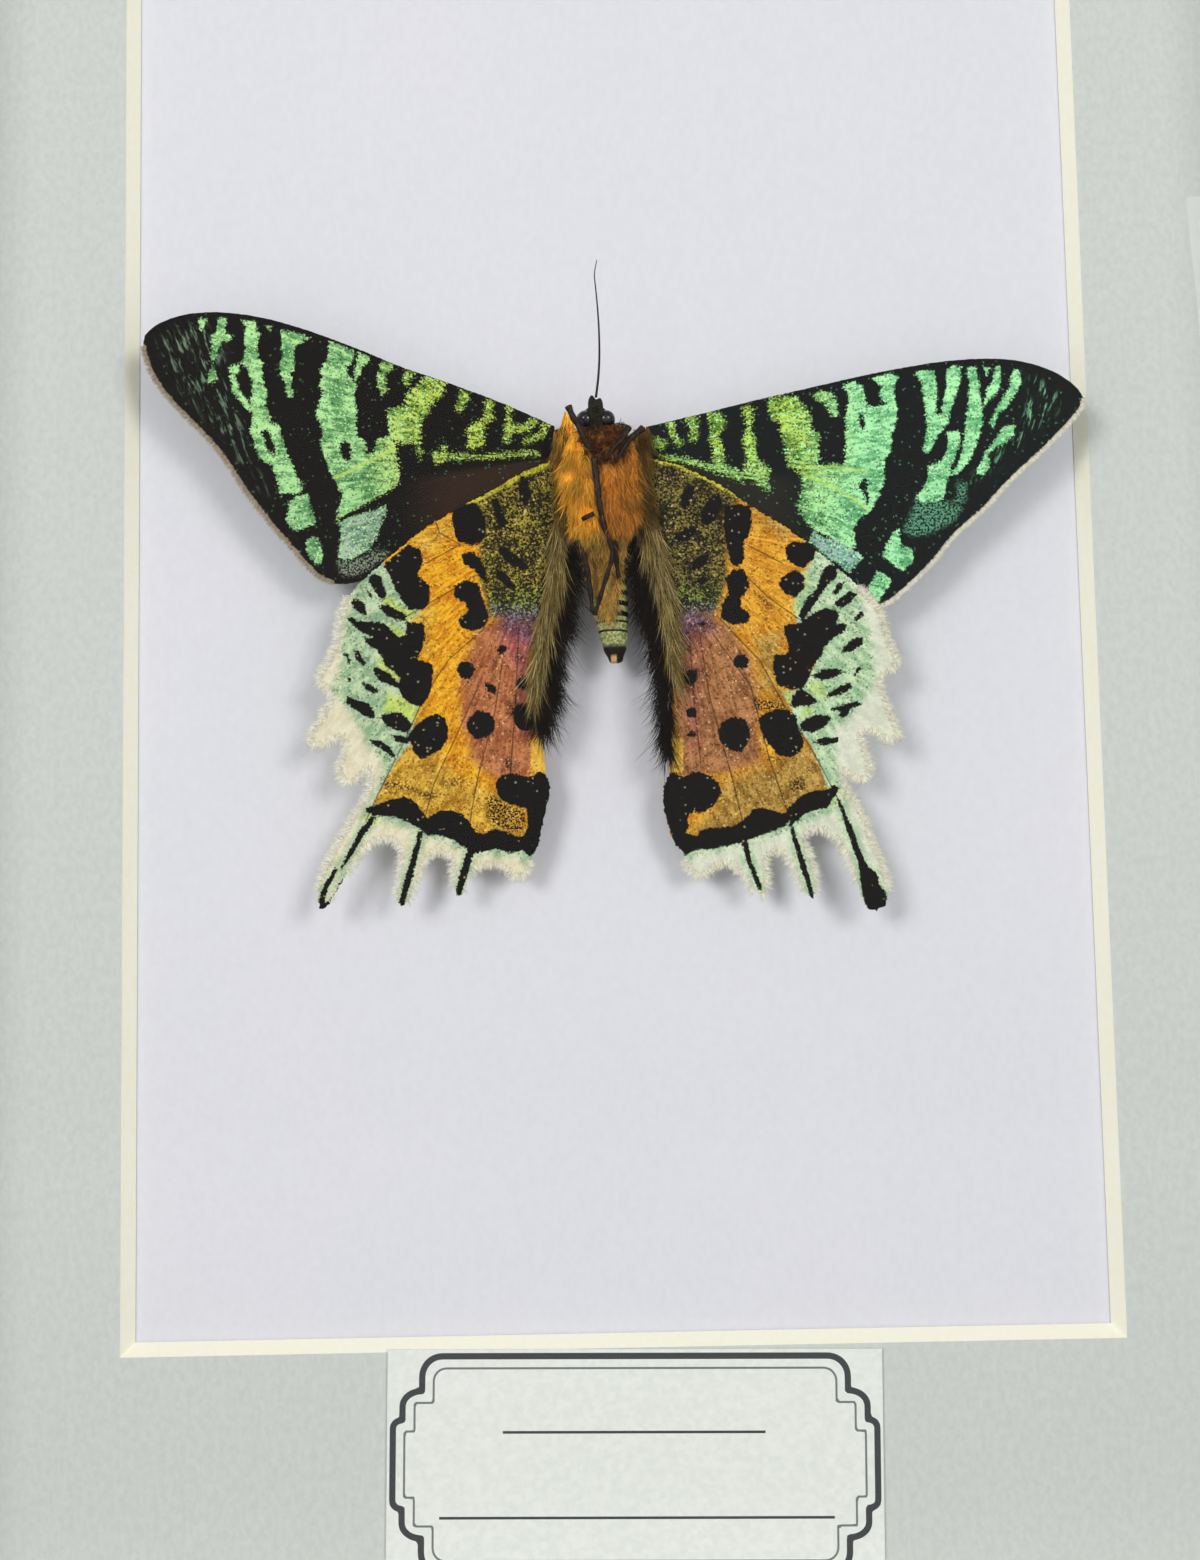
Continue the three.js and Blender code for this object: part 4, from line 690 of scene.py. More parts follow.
# The wing's angles are turned to millimetres at this distance from its root
FAN_RADIUS = 18
# How far an outline's outward direction may turn from the outer margin's, as a cosine
MARGIN_SPREAD = 0.75


def front_outline(node):
    """The outline of a flat CAD node's front face, in order, as x, y, z in millimetres."""
    grid = bmesh.new()
    grid.from_mesh(NODES[node].data)
    bmesh.ops.remove_doubles(grid, verts=grid.verts, dist=1e-6)
    grid.normal_update()
    grid.verts.ensure_lookup_table()
    after = {}
    for face in grid.faces:
        if face.normal.y > -0.5:
            continue
        for corner in face.loops:
            others = [other for other in corner.edge.link_faces if other is not face]
            if all(other.normal.y > -0.5 for other in others):
                after[corner.vert.index] = corner.link_loop_next.vert.index
    order = [next(iter(after))]
    while after[order[-1]] != order[0]:
        order.append(after[order[-1]])
    rim = np.array([grid.verts[index].co for index in order]) / MM
    grid.free()
    return rim


def outward_normals(rim):
    """Outward directions at the points of a closed outline that runs anticlockwise."""
    along = np.roll(rim, -1, axis=0) - np.roll(rim, 1, axis=0)
    along /= np.maximum(np.linalg.norm(along, axis=1), TINY)[:, None]
    return np.column_stack([along[:, 1], -along[:, 0]])


def fine_outline(rim, step, rough):
    """A closed (x, z) outline with points a step apart, each drawn in at random by up to rough."""
    pieces = []
    for start, end in zip(rim, np.roll(rim, -1, axis=0)):
        count = max(1, math.ceil(np.linalg.norm(end - start) / step))
        shares = np.arange(count)[:, None] / count
        pieces.append(start + (end - start) * shares)
    fine = np.vstack(pieces)
    inward = outward_normals(fine) * -1
    return fine + inward * RANDOM.uniform(0, rough, len(fine))[:, None]


def filled_outline(rim, coarse, step):
    """Points and triangles that fill an (x, z) outline with an even mesh."""
    low, high = rim.min(0), rim.max(0)
    rows = []
    for index, z in enumerate(np.arange(low[1], high[1], step * ROW_SHARE)):
        x = np.arange(low[0] + (index % 2) * step / 2, high[0], step)
        rows.append(np.column_stack([x, np.full(len(x), z)]))
    grid = np.vstack(rows)
    grid = grid[inside_distance(grid, coarse) > RIM_SHARE * step + FRINGE_ROUGH]
    points = [Vector(point) for point in np.vstack([rim, grid])]
    result = delaunay_2d_cdt(points, [], [list(range(len(rim)))], 1, 1e-6, False)
    flat, triangles = np.array([list(point) for point in result[0]]), np.array(result[2])
    doubtful = np.flatnonzero((triangles < len(rim)).all(1))
    outside = inside_distance(flat[triangles[doubtful]].mean(1), rim) < 0
    return flat, np.delete(triangles, doubtful[outside], axis=0)


def closed_sheet(name, flat, triangles, front_y, thickness, attributes):
    """A thin closed sheet with its front at front_y, and its back parallel behind it."""
    count = len(flat)
    front = np.column_stack([flat[:, 0], front_y, flat[:, 1]])
    back = front + (0, thickness, 0)
    edges = np.vstack([triangles[:, [0, 1]], triangles[:, [1, 2]], triangles[:, [2, 0]]])
    known = set(map(tuple, edges))
    rim = np.array([edge for edge in map(tuple, edges) if edge[::-1] not in known])
    first, second = rim[:, 0], rim[:, 1]
    sides = np.vstack([
        np.column_stack([second, first, first + count]),
        np.column_stack([second, first + count, second + count]),
    ])
    faces = np.vstack([triangles, triangles[:, ::-1] + count, sides])
    doubled = {key: np.concatenate([values, values]) for key, values in attributes.items()}
    return make_mesh(name, np.vstack([front, back]), faces, doubled, sharp_degrees=50)


def plane_through(rim):
    """The level of a flat outline as a function of (x, z)."""
    rows = np.column_stack([np.ones(len(rim)), rim[:, 0], rim[:, 2]])
    level, lean_x, lean_z = np.linalg.lstsq(rows, rim[:, 1], rcond=None)[0]
    return lambda flat: level + lean_x * flat[:, 0] + lean_z * flat[:, 1]


class Wing:
    """One wing: its CAD outline, where its veins fan out from, and its markings."""

    def __init__(self, node, side, root, markings, strokes, termen, fields, rough):
        self.node = node
        self.side = side
        self.root = root
        self.markings = markings
        self.fields = fields
        self.strokes = np.array(strokes) / np.hypot(*strokes)
        rim = front_outline(node)
        self.coarse = rim[:, [0, 2]]
        self.level = plane_through(rim)
        self.rim = fine_outline(self.coarse, RIM_STEP, rough)
        self.normals = outward_normals(self.rim)
        self.termen = self.normals @ termen > MARGIN_SPREAD

    def seen(self, flat):
        """Where the camera sees (x, z) places of the wing."""
        return as_seen(np.column_stack([flat[:, 0], self.level(flat), flat[:, 1]]))

    def fan(self, seen):
        """Angle about the wing's root, as millimetres along its arc, and distance from the root."""
        out = (seen[:, 0] - self.root[0]) * self.side
        up = seen[:, 1] - self.root[1]
        return np.arctan2(up, out) * FAN_RADIUS, np.hypot(out, up)

    def margin_distance(self, flat):
        """Distance to the wing's outer margin, from every third of its points."""
        rim = self.rim[self.termen][::3]
        gaps = flat[:, None, :] - rim[None]
        return np.sqrt((gaps ** 2).sum(2).min(1))

    def build(self, look, slot):
        flat, triangles = filled_outline(self.rim, self.coarse, GRID_STEP)
        seen = self.seen(flat)
        angle, radius = self.fan(seen)
        zero = np.zeros(len(seen))
        across = seen @ (self.strokes[1], -self.strokes[0])
        along = seen @ self.strokes
        attributes = {
            "place_mm": np.column_stack([seen, zero]),
            "fan_mm": np.column_stack([angle, radius, zero]),
            "stroke_mm": np.column_stack([across, along, zero]),
            "edge": -self.margin_distance(flat),
        }
        for key in self.fields:
            attributes[key] = field(seen, self.markings[key])
        for key in ("vein", "costa"):
            if key in self.markings:
                attributes[key] = line_field(seen, self.markings[key])
        wide_pleats = 0.3 * np.sin(angle * 1.1 + 0.4 * np.sin(radius * 0.35))
        narrow_pleats = 0.2 * np.sin(angle * 2.7 + 1)
        ridge = np.exp(-((attributes["vein"] / VEIN_WIDTH) ** 2))
        relief = WING_RELIEF * (0.5 + wide_pleats + narrow_pleats) * (1 - 0.6 * ridge)
        front_y = self.level(flat) + relief
        sheet = closed_sheet(self.node + "_scales", flat, triangles, front_y, WING_SKIN, attributes)
        show(sheet, look, slot, self.node)


def forewing_look(name, tints, tilt):
    """Pale green bands on black. Each tint is a dark and a bright colour."""
    look = Look(name, roughness=0.5, specular=0.08)
    place = look.vector("place_mm")
    fan = look.vector("fan_mm")
    rows = look.noise(look.stretch(fan, (2.6, 0.5, 1.0), (0, 0, tilt)), 1.0, 3.0, 0.65)
    strokes = look.noise(look.stretch(look.vector("stroke_mm"), (2.4, 0.4, 1.0)), 1.0, 3.0, 0.7)
    grain = look.noise(place, 4.6, 2.0, 0.65)
    broad = look.noise(place, 0.4, 2.0)
    scales = look.cells(place, 6.5)
    out = look.apart(look.axis(place, "X"))
    near_root = look.minus(1.0, look.blend_in(out, 17.0, 26.0))
    shift = look.sum_of((look.minus(rows, 0.5), 0.6), (look.minus(grain, 0.5), 1.0))
    shift = look.times(shift, look.plus(1.0, look.times(near_root, 0.8)))

    def zone(key, soft=0.05):
        return look.blend_in(look.plus(look.number(key), shift), -soft, soft)

    tone = look.blend_in(look.sum_of((rows, 0.6), (broad, 0.4)), 0.41, 0.58)
    mint, lime, low_green, blue = (look.mix(tone, *tints[key]) for key in ("mint", "lime", "low", "blue"))
    low = look.minus(1.0, look.blend_in(look.axis(place, "Y"), 7.0, 15.0))
    gaps = look.times(near_root, look.blend_in(scales, 0.42, 0.24))
    veins = look.blend_in(look.apart(look.number("vein")), 0.3, 0.05)
    green = look.layered(
        mint,
        (near_root, lime),
        (look.times(low, 0.55), low_green),
        (zone("blue", 0.5), blue),
        # Brightest single scales in bright mint: painted glints, partly the scales' own tone
        (look.blend_in(scales, 0.82, 0.96), tints["mint"][1]),
        (look.times(look.blend_in(scales, 0.2, 0.08), 0.6), tints["ink"][0]),
        (look.times(gaps, 0.6), tints["ink"][0]),
        (look.times(veins, 0.5), tints["lime"][1]),
    )
    band = look.times(look.blend_in(look.axis(fan, "X"), -1.6, -3.4), look.blend_in(out, 21.0, 15.0))
    wisps = look.times(look.blend_in(look.number("wisp"), -0.4, 1.6), look.blend_in(strokes, 0.53, 0.66))
    dust = look.times(zone("dusty", 0.4), look.blend_in(grain, 0.46, 0.54))
    dark = look.layered(
        look.mix(look.blend_in(grain, 0.35, 0.7), *tints["ink"]),
        (band, look.mix(rows, *tints["band"])),
        # A few green scales in the black: partly stray green scales and partly painted glints
        (look.times(look.maths("GREATER_THAN", scales, 0.985), 0.4), tints["mint"][0]),
        (wisps, tints["wisp"]),
        (look.times(dust, 0.85), tints["dusty"]),
    )
    shown = look.times(look.most(zone("pale"), zone("blue")), look.minus(1.0, zone("hole")))
    margin = look.blend_in(look.plus(look.number("edge"), look.times(shift, 0.4)), -0.4, -0.22)
    look.bump(look.sum_of((rows, 1.0), (scales, 0.5)), 0.6, 0.07)
    return look.done(look.layered(dark, (shown, green), (margin, tints["margin"])))


def hindwing_look(name, tints):
    """Gold, copper, olive and mint grounds under black blotches. Each tint is a dark and a bright colour."""
    look = Look(name, roughness=0.5, specular=0.1)
    place = look.vector("place_mm")
    rows = look.noise(look.stretch(look.vector("fan_mm"), (2.4, 0.5, 1.0)), 1.0, 3.0, 0.6)
    grain = look.noise(place, 4.5, 2.0, 0.6)
    broad = look.noise(place, 0.5, 2.0)
    scales = look.cells(place, 6.0)
    up = look.axis(place, "Y")
    shift = look.sum_of((look.minus(rows, 0.5), 0.45), (look.minus(grain, 0.5), 0.6))
    cloud = look.times(look.minus(broad, 0.5), 3.0)

    def zone(key, soft, cloudy=0.0):
        value = look.plus(look.number(key), shift)
        return look.blend_in(look.plus(value, look.times(cloud, cloudy)), -soft, soft)

    tone = look.blend_in(look.sum_of((rows, 0.6), (broad, 0.3), (scales, 0.12)), 0.38, 0.66)
    toned = {key: look.mix(tone, *tints[key]) for key in TONED}
    speck = look.blend_in(look.sum_of((grain, 0.8), (scales, 0.35), (cloud, 0.2), (rows, 0.35)), 0.7, 0.98)
    olive, teal, violet = (look.mix(speck, *tints[key]) for key in ("olive", "teal", "violet"))
    olive = look.mix(look.times(look.blend_in(up, 1.0, -2.4), 0.8), olive, teal)
    dots = look.times(look.blend_in(up, -15.0, -18.0), look.blend_in(grain, 0.4, 0.32))
    by_ink = look.blend_in(look.number("ink"), -0.5, -0.1)
    mint_edge = look.plus(look.plus(look.number("mint"), shift), look.times(by_ink, 0.25))
    by_streaks = look.times(look.blend_in(look.number("ink"), -0.8, -0.1), look.blend_in(up, -20.5, -22.0))
    by_streaks = look.times(by_streaks, zone("cream", 0.2))
    costa = look.blend_in(look.apart(look.plus(look.number("costa"), shift)), 0.5, 0.25)
    off_cream = look.blend_in(look.number("cream"), 0.3, -0.3)
    veins = look.times(look.blend_in(look.apart(look.number("vein")), 0.11, 0.03), off_cream)
    darker = look.times(look.blend_in(scales, 0.14, 0.04), off_cream)
    ground = look.layered(
        toned["orange"],
        (zone("gold", 0.9, 0.6), toned["gold"]),
        (zone("copper", 0.7, 0.5), toned["copper"]),
        (look.times(zone("rose", 0.9, 0.3), 0.75), toned["rose"]),
        (zone("olive", 0.5, 0.4), olive),
        (look.times(zone("violet", 1.1, 0.3), 0.8), violet),
        (look.times(dots, 0.6), tints["ink"][0]),
        (look.blend_in(mint_edge, -0.15, 0.15), toned["mint"]),
        (zone("lime", 0.3), toned["lime"]),
        (zone("cream", 0.7, 0.4), toned["cream"]),
        (look.times(by_streaks, 0.75), toned["mint"]),
        (zone("strip", 0.12), toned["strip"]),
        (costa, toned["costa"]),
        (look.times(veins, 0.7), tints["vein"]),
        # Brightest single scales: painted glints, partly the scales' own pale tone
        (look.times(look.blend_in(scales, 0.96, 1.0), 0.45), tints["fleck_and_glint"]),
        (look.times(darker, 0.5), tints["ink"][0]),
    )
    dark = look.mix(look.blend_in(grain, 0.35, 0.7), *tints["ink"])
    # A few bright scales on the black: painted glints, partly pale scales
    dark = look.mix(look.times(look.maths("GREATER_THAN", scales, 0.99), 0.32), dark, tints["fleck_and_glint"])
    smoke = look.times(zone("smoke", 0.4), look.blend_in(grain, 0.54, 0.47))
    look.bump(look.sum_of((rows, 1.0), (scales, 0.5)), 0.6, 0.06)
    return look.done(look.mix(look.most(zone("ink", 0.05), smoke), ground, dark))


# The hindwings' tints that follow the rows of scales
TONED = ("orange", "gold", "copper", "rose", "mint", "lime", "cream", "strip", "costa")
LEFT_TINTS = {
    "orange": (colour(206, 120, 6), colour(255, 194, 34)),
    "gold": (colour(170, 118, 20), colour(246, 196, 72)),
    "copper": (colour(146, 78, 42), colour(210, 134, 84)),
    "rose": (colour(150, 72, 76), colour(208, 120, 112)),
    "olive": (colour(28, 21, 7), colour(176, 158, 54)),
    "teal": (colour(34, 38, 16), colour(140, 176, 72)),
    "violet": (colour(60, 40, 52), colour(142, 112, 150)),
    "lime": (colour(164, 190, 84), colour(214, 230, 124)),
    "mint": (colour(138, 174, 132), colour(208, 224, 182)),
    "cream": (colour(224, 214, 180), colour(242, 234, 208)),
    "strip": (colour(226, 166, 48), colour(250, 204, 90)),
    "costa": (colour(146, 142, 22), colour(226, 216, 66)),
    "ink": (colour(17, 13, 10), colour(5, 4, 3)),
    "vein": colour(58, 34, 10),
    # fleck_and_glint: bright single scales, partly their own pale tone and partly painted glints of scales
    # catching the light
    "fleck_and_glint": colour(255, 232, 170),
}
RIGHT_TINTS = {
    **LEFT_TINTS,
    "orange": (colour(196, 122, 20), colour(252, 190, 58)),
    "gold": (colour(138, 98, 30), colour(214, 172, 84)),
    "copper": (colour(128, 78, 42), colour(198, 136, 86)),
    "rose": (colour(136, 76, 58), colour(194, 122, 92)),
    "olive": (colour(28, 23, 10), colour(150, 134, 62)),
    "mint": (colour(144, 184, 138), colour(216, 236, 194)),
    "lime": (colour(160, 190, 110), colour(206, 230, 150)),
    "cream": (colour(212, 214, 192), colour(234, 236, 214)),
    "ink": (colour(20, 17, 14), colour(7, 6, 5)),
}
FORE_LEFT_TINTS = {
    "mint": (colour(94, 152, 92), colour(188, 242, 162)),
    "lime": (colour(104, 136, 32), colour(206, 226, 88)),
    "low": (colour(82, 136, 92), colour(150, 204, 140)),
    "blue": (colour(116, 150, 126), colour(172, 198, 168)),
    "ink": (colour(22, 18, 13), colour(7, 6, 5)),
    "band": (colour(28, 19, 13), colour(66, 44, 30)),
    "wisp": colour(118, 140, 114),
    "dusty": colour(152, 164, 140),
    "margin": colour(182, 162, 134),
}
FORE_RIGHT_TINTS = {
    "mint": (colour(106, 188, 124), colour(186, 255, 184)),
    "lime": (colour(104, 146, 40), colour(198, 234, 96)),
    "low": (colour(94, 170, 118), colour(170, 244, 176)),
    "blue": (colour(108, 152, 142), colour(168, 204, 188)),
    "ink": (colour(24, 29, 26), colour(9, 12, 10)),
    "band": (colour(26, 26, 20), colour(50, 46, 34)),
    "wisp": colour(150, 225, 176),
    "dusty": colour(108, 176, 138),
    "margin": colour(232, 228, 216),
}
RIGHT_TILT = 0.35

# Each wing: its side, its root, its markings, the direction of its strokes and that of its outer margin
WINGS = {
    "fore_left": (-1, (-5.0, 13.0), FORE_LEFT, (0.37, -0.93), (-0.8, -0.6)),
    "fore_right": (1, (4.0, 12.5), FORE_RIGHT, (-0.3, -0.95), (0.8, -0.6)),
    "hind_left": (-1, (-6.0, 6.5), HIND_LEFT, (-0.5, -0.86), (-0.6, -0.8)),
    "hind_right": (1, (4.5, 6.5), HIND_RIGHT, (0.5, -0.86), (0.6, -0.8)),
}


def wings():
    """The four wings. A hindwing lies over its forewing, nearer the viewer."""
    made = {}
    for key, settings in WINGS.items():
        kind = (HIND_FIELDS, FRINGE_ROUGH) if "hind" in key else (FORE_FIELDS, RIM_ROUGH)
        made[key] = Wing(key.replace("_", "wing_"), *settings, *kind)
    made["fore_left"].build(forewing_look("forewing_left_scales", FORE_LEFT_TINTS, 0.0), "forewing_scales")
    made["fore_right"].build(
        forewing_look("forewing_right_scales", FORE_RIGHT_TINTS, RIGHT_TILT), "forewing_scales")
    made["hind_left"].build(hindwing_look("hindwing_left_scales", LEFT_TINTS), "hindwing_scales")
    made["hind_right"].build(hindwing_look("hindwing_right_scales", RIGHT_TINTS), "hindwing_scales")
    return made


# Hairs: closed three-sided spikes, many to a mesh
HAIR_RINGS = (0.0, 0.4, 0.75)
HAIR_TAPER = (1.0, 0.8, 0.45)
# Random ranges: a hair's width against its fur's radius, and its brightness against its tint
HAIR_WIDTHS = (0.7, 1.2)
HAIR_BRIGHTNESS = (0.75, 1.2)


def hair_look():
    look = Look("hair", roughness=0.6, specular=0.1)
    mottle = look.noise(look.place(), 3.0, 2.0)
    return look.done(look.mix(look.times(mottle, 0.14), look.vector("shade"), colour(70, 46, 22)))


HAIR_LOOK = hair_look()


def hair_mesh(name, roots, directions, lengths, radii, bends, shades, slot):
    """One mesh of hairs. Roots, directions and bends are (u, v, h), and shades are linear colours."""
    directions = directions / np.linalg.norm(directions, axis=1)[:, None]
    helper = np.where(np.abs(directions[:, :1]) < 0.7, (1.0, 0.0, 0.0), (0.0, 1.0, 0.0))
    side = np.cross(directions, helper)
    side /= np.linalg.norm(side, axis=1)[:, None]
    other = np.cross(directions, side)

    def centre(share):
        reach = lengths[:, None] * share
        return roots + directions * reach + bends * reach * share

    layers = []
    for share, taper in zip(HAIR_RINGS, HAIR_TAPER):
        for corner in range(3):
            angle = corner * math.tau / 3
            spoke = side * math.cos(angle) + other * math.sin(angle)
            layers.append(centre(share) + spoke * (radii * taper)[:, None])
    layers.append(centre(1.0))
    points = np.stack(layers, 1)
    faces = [(0, 2, 1)]
    for ring in range(2):
        for corner in range(3):
            low, low_next = 3 * ring + corner, 3 * ring + (corner + 1) % 3
            faces += [(low, low_next, low_next + 3), (low, low_next + 3, low + 3)]
    faces += [(6, 7, 9), (7, 8, 9), (8, 6, 9)]
    size = len(layers)
    triangles = (np.arange(len(roots))[:, None, None] * size + np.array(faces)[None]).reshape(-1, 3)
    shade = np.repeat(shades, size, axis=0)
    hairs = make_mesh(name, world_points(points.reshape(-1, 3)), triangles[:, ::-1], {"shade": shade})
    show(hairs, HAIR_LOOK, slot)
    return hairs


def mixed_shades(tints, count):
    """A random colour for each hair, between those given."""
    tints = np.array([tint[:3] for tint in tints])
    place = RANDOM.uniform(0, len(tints) - 1, count)
    low = np.minimum(place.astype(int), len(tints) - 2)
    share = (place - low)[:, None]
    shade = tints[low] * (1 - share) + tints[low + 1] * share
    return shade * RANDOM.uniform(*HAIR_BRIGHTNESS, count)[:, None]


def spots_in(patch, count):
    """Random places inside an outline."""
    patch = np.asarray(patch, float)
    found = np.empty((0, 2))
    while len(found) < count:
        tries = RANDOM.uniform(patch.min(0), patch.max(0), (4 * count, 2))
        found = np.vstack([found, tries[inside_distance(tries, patch) > 0]])
    return found[:count]


# Round parts of the body, as in the CAD: middle (u, v, h) and half sizes
ROUND_PARTS = {
    "thorax": ((-0.7, 9.8, 4.25), (4.2, 7.0, 3.9)),
    "head": ((-1.15, 16.5, 5.4), (1.4, 1.4, 1.4)),
    "palp_left": ((-1.5, 17.7, 6.4), (0.4, 1.0, 0.42)),
    "palp_right": ((-0.75, 17.5, 6.4), (0.36, 0.95, 0.42)),
}
EYES = {"eye_left": ((-2.15, 16.4, 5.9), (0.9,) * 3), "eye_right": ((-0.15, 16.4, 5.9), (0.9,) * 3)}
ABDOMEN_TOP, ABDOMEN_TIP = (-0.6, 6.0), (0.45, -7.3)
ABDOMEN_HEIGHT = 3.2
ABDOMEN_TIP_RISE = 0.4
ABDOMEN_RADIUS = 1.85
ABDOMEN_ROWS, ABDOMEN_SIDES = 60, 40
# Along its length: where it is widest, how far from there it would close, and where its grooves start
ABDOMEN_WIDEST, ABDOMEN_REACH, GROOVES_START = 0.35, 0.68, 0.3
ABDOMEN_GROOVES, GROOVE_DEPTH = 11, 0.05
# The two dark rings' places along v, and the distance between the dark bars
ABDOMEN_RINGS = (-3.4, -4.3)
BAR_SPACING = 1.05
# How often a ball is subdivided, and the size of the cells that the body's parts are melted in
BODY_DETAIL, EYE_DETAIL = 5, 4
BODY_VOXEL = 0.16


def body_surface(places):
    """Height of the body's surface over (u, v) places, or 0 beside it."""
    tops = [np.zeros(len(places))]
    for middle, half in [*ROUND_PARTS.values(), *EYES.values()]:
        off = ((places[:, 0] - middle[0]) / half[0]) ** 2 + ((places[:, 1] - middle[1]) / half[1]) ** 2
        tops.append(np.where(off < 1, middle[2] + half[2] * np.sqrt(np.maximum(1 - off, 0)), 0))
    share = (ABDOMEN_TOP[1] - places[:, 1]) / (ABDOMEN_TOP[1] - ABDOMEN_TIP[1])
    side = places[:, 0] - (ABDOMEN_TOP[0] + share * (ABDOMEN_TIP[0] - ABDOMEN_TOP[0]))
    over = (share > 0) & (share < 1) & (np.abs(side) < ABDOMEN_RADIUS)
    rise = np.sqrt(np.maximum(ABDOMEN_RADIUS ** 2 - side ** 2, 0))
    tops.append(np.where(over, ABDOMEN_HEIGHT + rise, 0))
    return np.max(tops, axis=0)


# Tufts: cells of a fur's patch, numbered in steps along u and v, so that neighbours lean in different ways
TUFT_KINDS = 509
TUFT_STEPS = (73, 179)
TUFT_SHIFT = 1000
# The height where a fur's patch is looked up on the body
FUR_PLANE = 7.0
FUR_CURL = 0.14


def fur(name, patch, count, flow, length, tints, floor=4.6, radius=0.045, spread=0.15, clump=0.2, tuft=0.6,
        droop=0.0, gather=0.3, light=(0.55, 1.25)):
    """Hairs over a seen patch, rooted on the body, or at the floor height beside it.

    flow is their direction at the patch's left and right edges. Hairs of one tuft lean one way and gather
    towards its middle, droop bends them down, and light is the range that each tuft's shade is scaled by; a
    range past 1 brightens the fur past its tints, as painted light."""
    seen = spots_in(patch, count)
    height = np.maximum(body_surface(truly_at(seen, FUR_PLANE)[:, :2]), floor)
    roots = truly_at(seen, height)
    across = np.interp(seen[:, 0], (seen[:, 0].min(), seen[:, 0].max()), (0, 1))[:, None]
    directions = np.array(flow[0]) * (1 - across) + np.array(flow[1]) * across
    leans = RANDOM.normal(0, clump, (TUFT_KINDS, 3))
    shades = RANDOM.uniform(*light, TUFT_KINDS)
    cells = np.floor(seen / tuft + TUFT_SHIFT).astype(int) @ TUFT_STEPS % TUFT_KINDS
    lengths = RANDOM.uniform(*length, count)
    inward = (np.floor(seen / tuft) + 0.5) * tuft - seen
    directions = directions + leans[cells] + RANDOM.normal(0, spread, (count, 3))
    directions[:, :2] += inward * (gather / lengths)[:, None]
    radii = RANDOM.uniform(*HAIR_WIDTHS, count) * radius
    bends = np.array((0, -droop, 0)) + RANDOM.normal(0, FUR_CURL, (count, 3))
    shade = mixed_shades(tints, count) * shades[cells][:, None]
    hair_mesh(name, roots, directions, lengths, radii, bends, shade, "moth_fur")


def thorax_fur():
    bright = (colour(255, 200, 60), colour(255, 182, 36), colour(255, 218, 96), colour(240, 146, 28))
    brown = (colour(232, 150, 56), colour(206, 126, 44), colour(246, 184, 90), colour(140, 90, 38))
    olive = (colour(132, 104, 44), colour(176, 140, 66), colour(92, 74, 34))
    lobe = {"length": (1.2, 2.3), "droop": 0.15, "tuft": 0.8, "gather": 0.15}
    fur("fur_left_edge",
        [(-5.4, 13.6), (-5.3, 15.7), (-4.2, 16.2), (-4.0, 14.6), (-4.0, 6.0), (-4.9, 7.4)], 1900,
        flow=((-0.05, -0.99, 0.1),) * 2, length=(1.2, 2.2), tints=(bright[3], *olive), floor=5.0, clump=0.08)
    fur("fur_right_edge",
        [(2.6, 15.6), (4.0, 15.9), (4.1, 12.4), (4.2, 6.0), (3.0, 4.8)], 2200,
        flow=((0.12, -0.95, 0.2), (0.2, -0.95, 0.1)), length=(1.2, 2.2), tints=(brown[3], *olive),
floor=5.0)
    # The lobes and the waist get light ranges past 1, so their fur is brighter than its tints: painted
    # light, making up for the shade that the dense hairs cast on one another
    fur("fur_left_lobe",
        [(-4.2, 17.6), (-3.6, 17.0), (-2.3, 14.0), (-1.6, 10.0), (-1.3, 6.8), (-2.4, 5.6), (-3.6, 6.8),
         (-4.4, 10.0), (-4.5, 13.4)], 4800,
        flow=((-0.16, -0.95, 0.2), (0.12, -0.97, 0.12)), tints=bright, clump=0.2, light=(0.85, 1.7), **lobe)
    fur("fur_right_lobe",
        [(-0.9, 13.6), (0.8, 14.8), (2.6, 14.6), (2.9, 11.4), (2.6, 7.6), (1.5, 5.8), (-0.6, 6.6),
         (-1.0, 10.0)], 4800,
        flow=((-0.1, -0.97, 0.12), (0.3, -0.92, 0.2)), tints=(bright[1], *brown),
clump=0.22, light=(0.7, 1.5),
        **lobe)
    fur("fur_collar",
        [(-2.8, 15.8), (1.6, 16.4), (1.8, 13.0), (-1.8, 12.4)], 1300,
        flow=((-0.2, -0.5, 0.5), (0.5, -0.4, 0.6)), length=(0.8, 1.6),
        tints=(colour(70, 44, 22), colour(168, 100, 42), colour(48, 32, 18)), clump=0.3)
    # A light range past 1: painted light on the waist's fur
    fur("fur_waist",
        [(-2.8, 5.0), (-1.6, 6.8), (1.4, 6.8), (1.5, 4.0), (0.9, 1.0), (0.3, -2.8), (-1.1, -2.6),
         (-1.7, 0.6)],
        2600, flow=((-0.05, -0.95, 0.25), (0.1, -0.95, 0.2)), length=(0.9, 1.9),
        tints=(colour(176, 134, 58), colour(226, 184, 96), colour(134, 104, 48)), clump=0.1,
        light=(1.05, 2.0))
    fur("fur_head",
        [(-1.6, 17.8), (-0.7, 17.8), (-0.8, 15.6), (-1.6, 15.6)], 260,
        flow=((-0.3, 0.2, 0.6), (0.3, 0.2, 0.6)), length=(0.3, 0.7),
        tints=(colour(26, 22, 16), colour(84, 92, 52)), floor=5.6, radius=0.03)


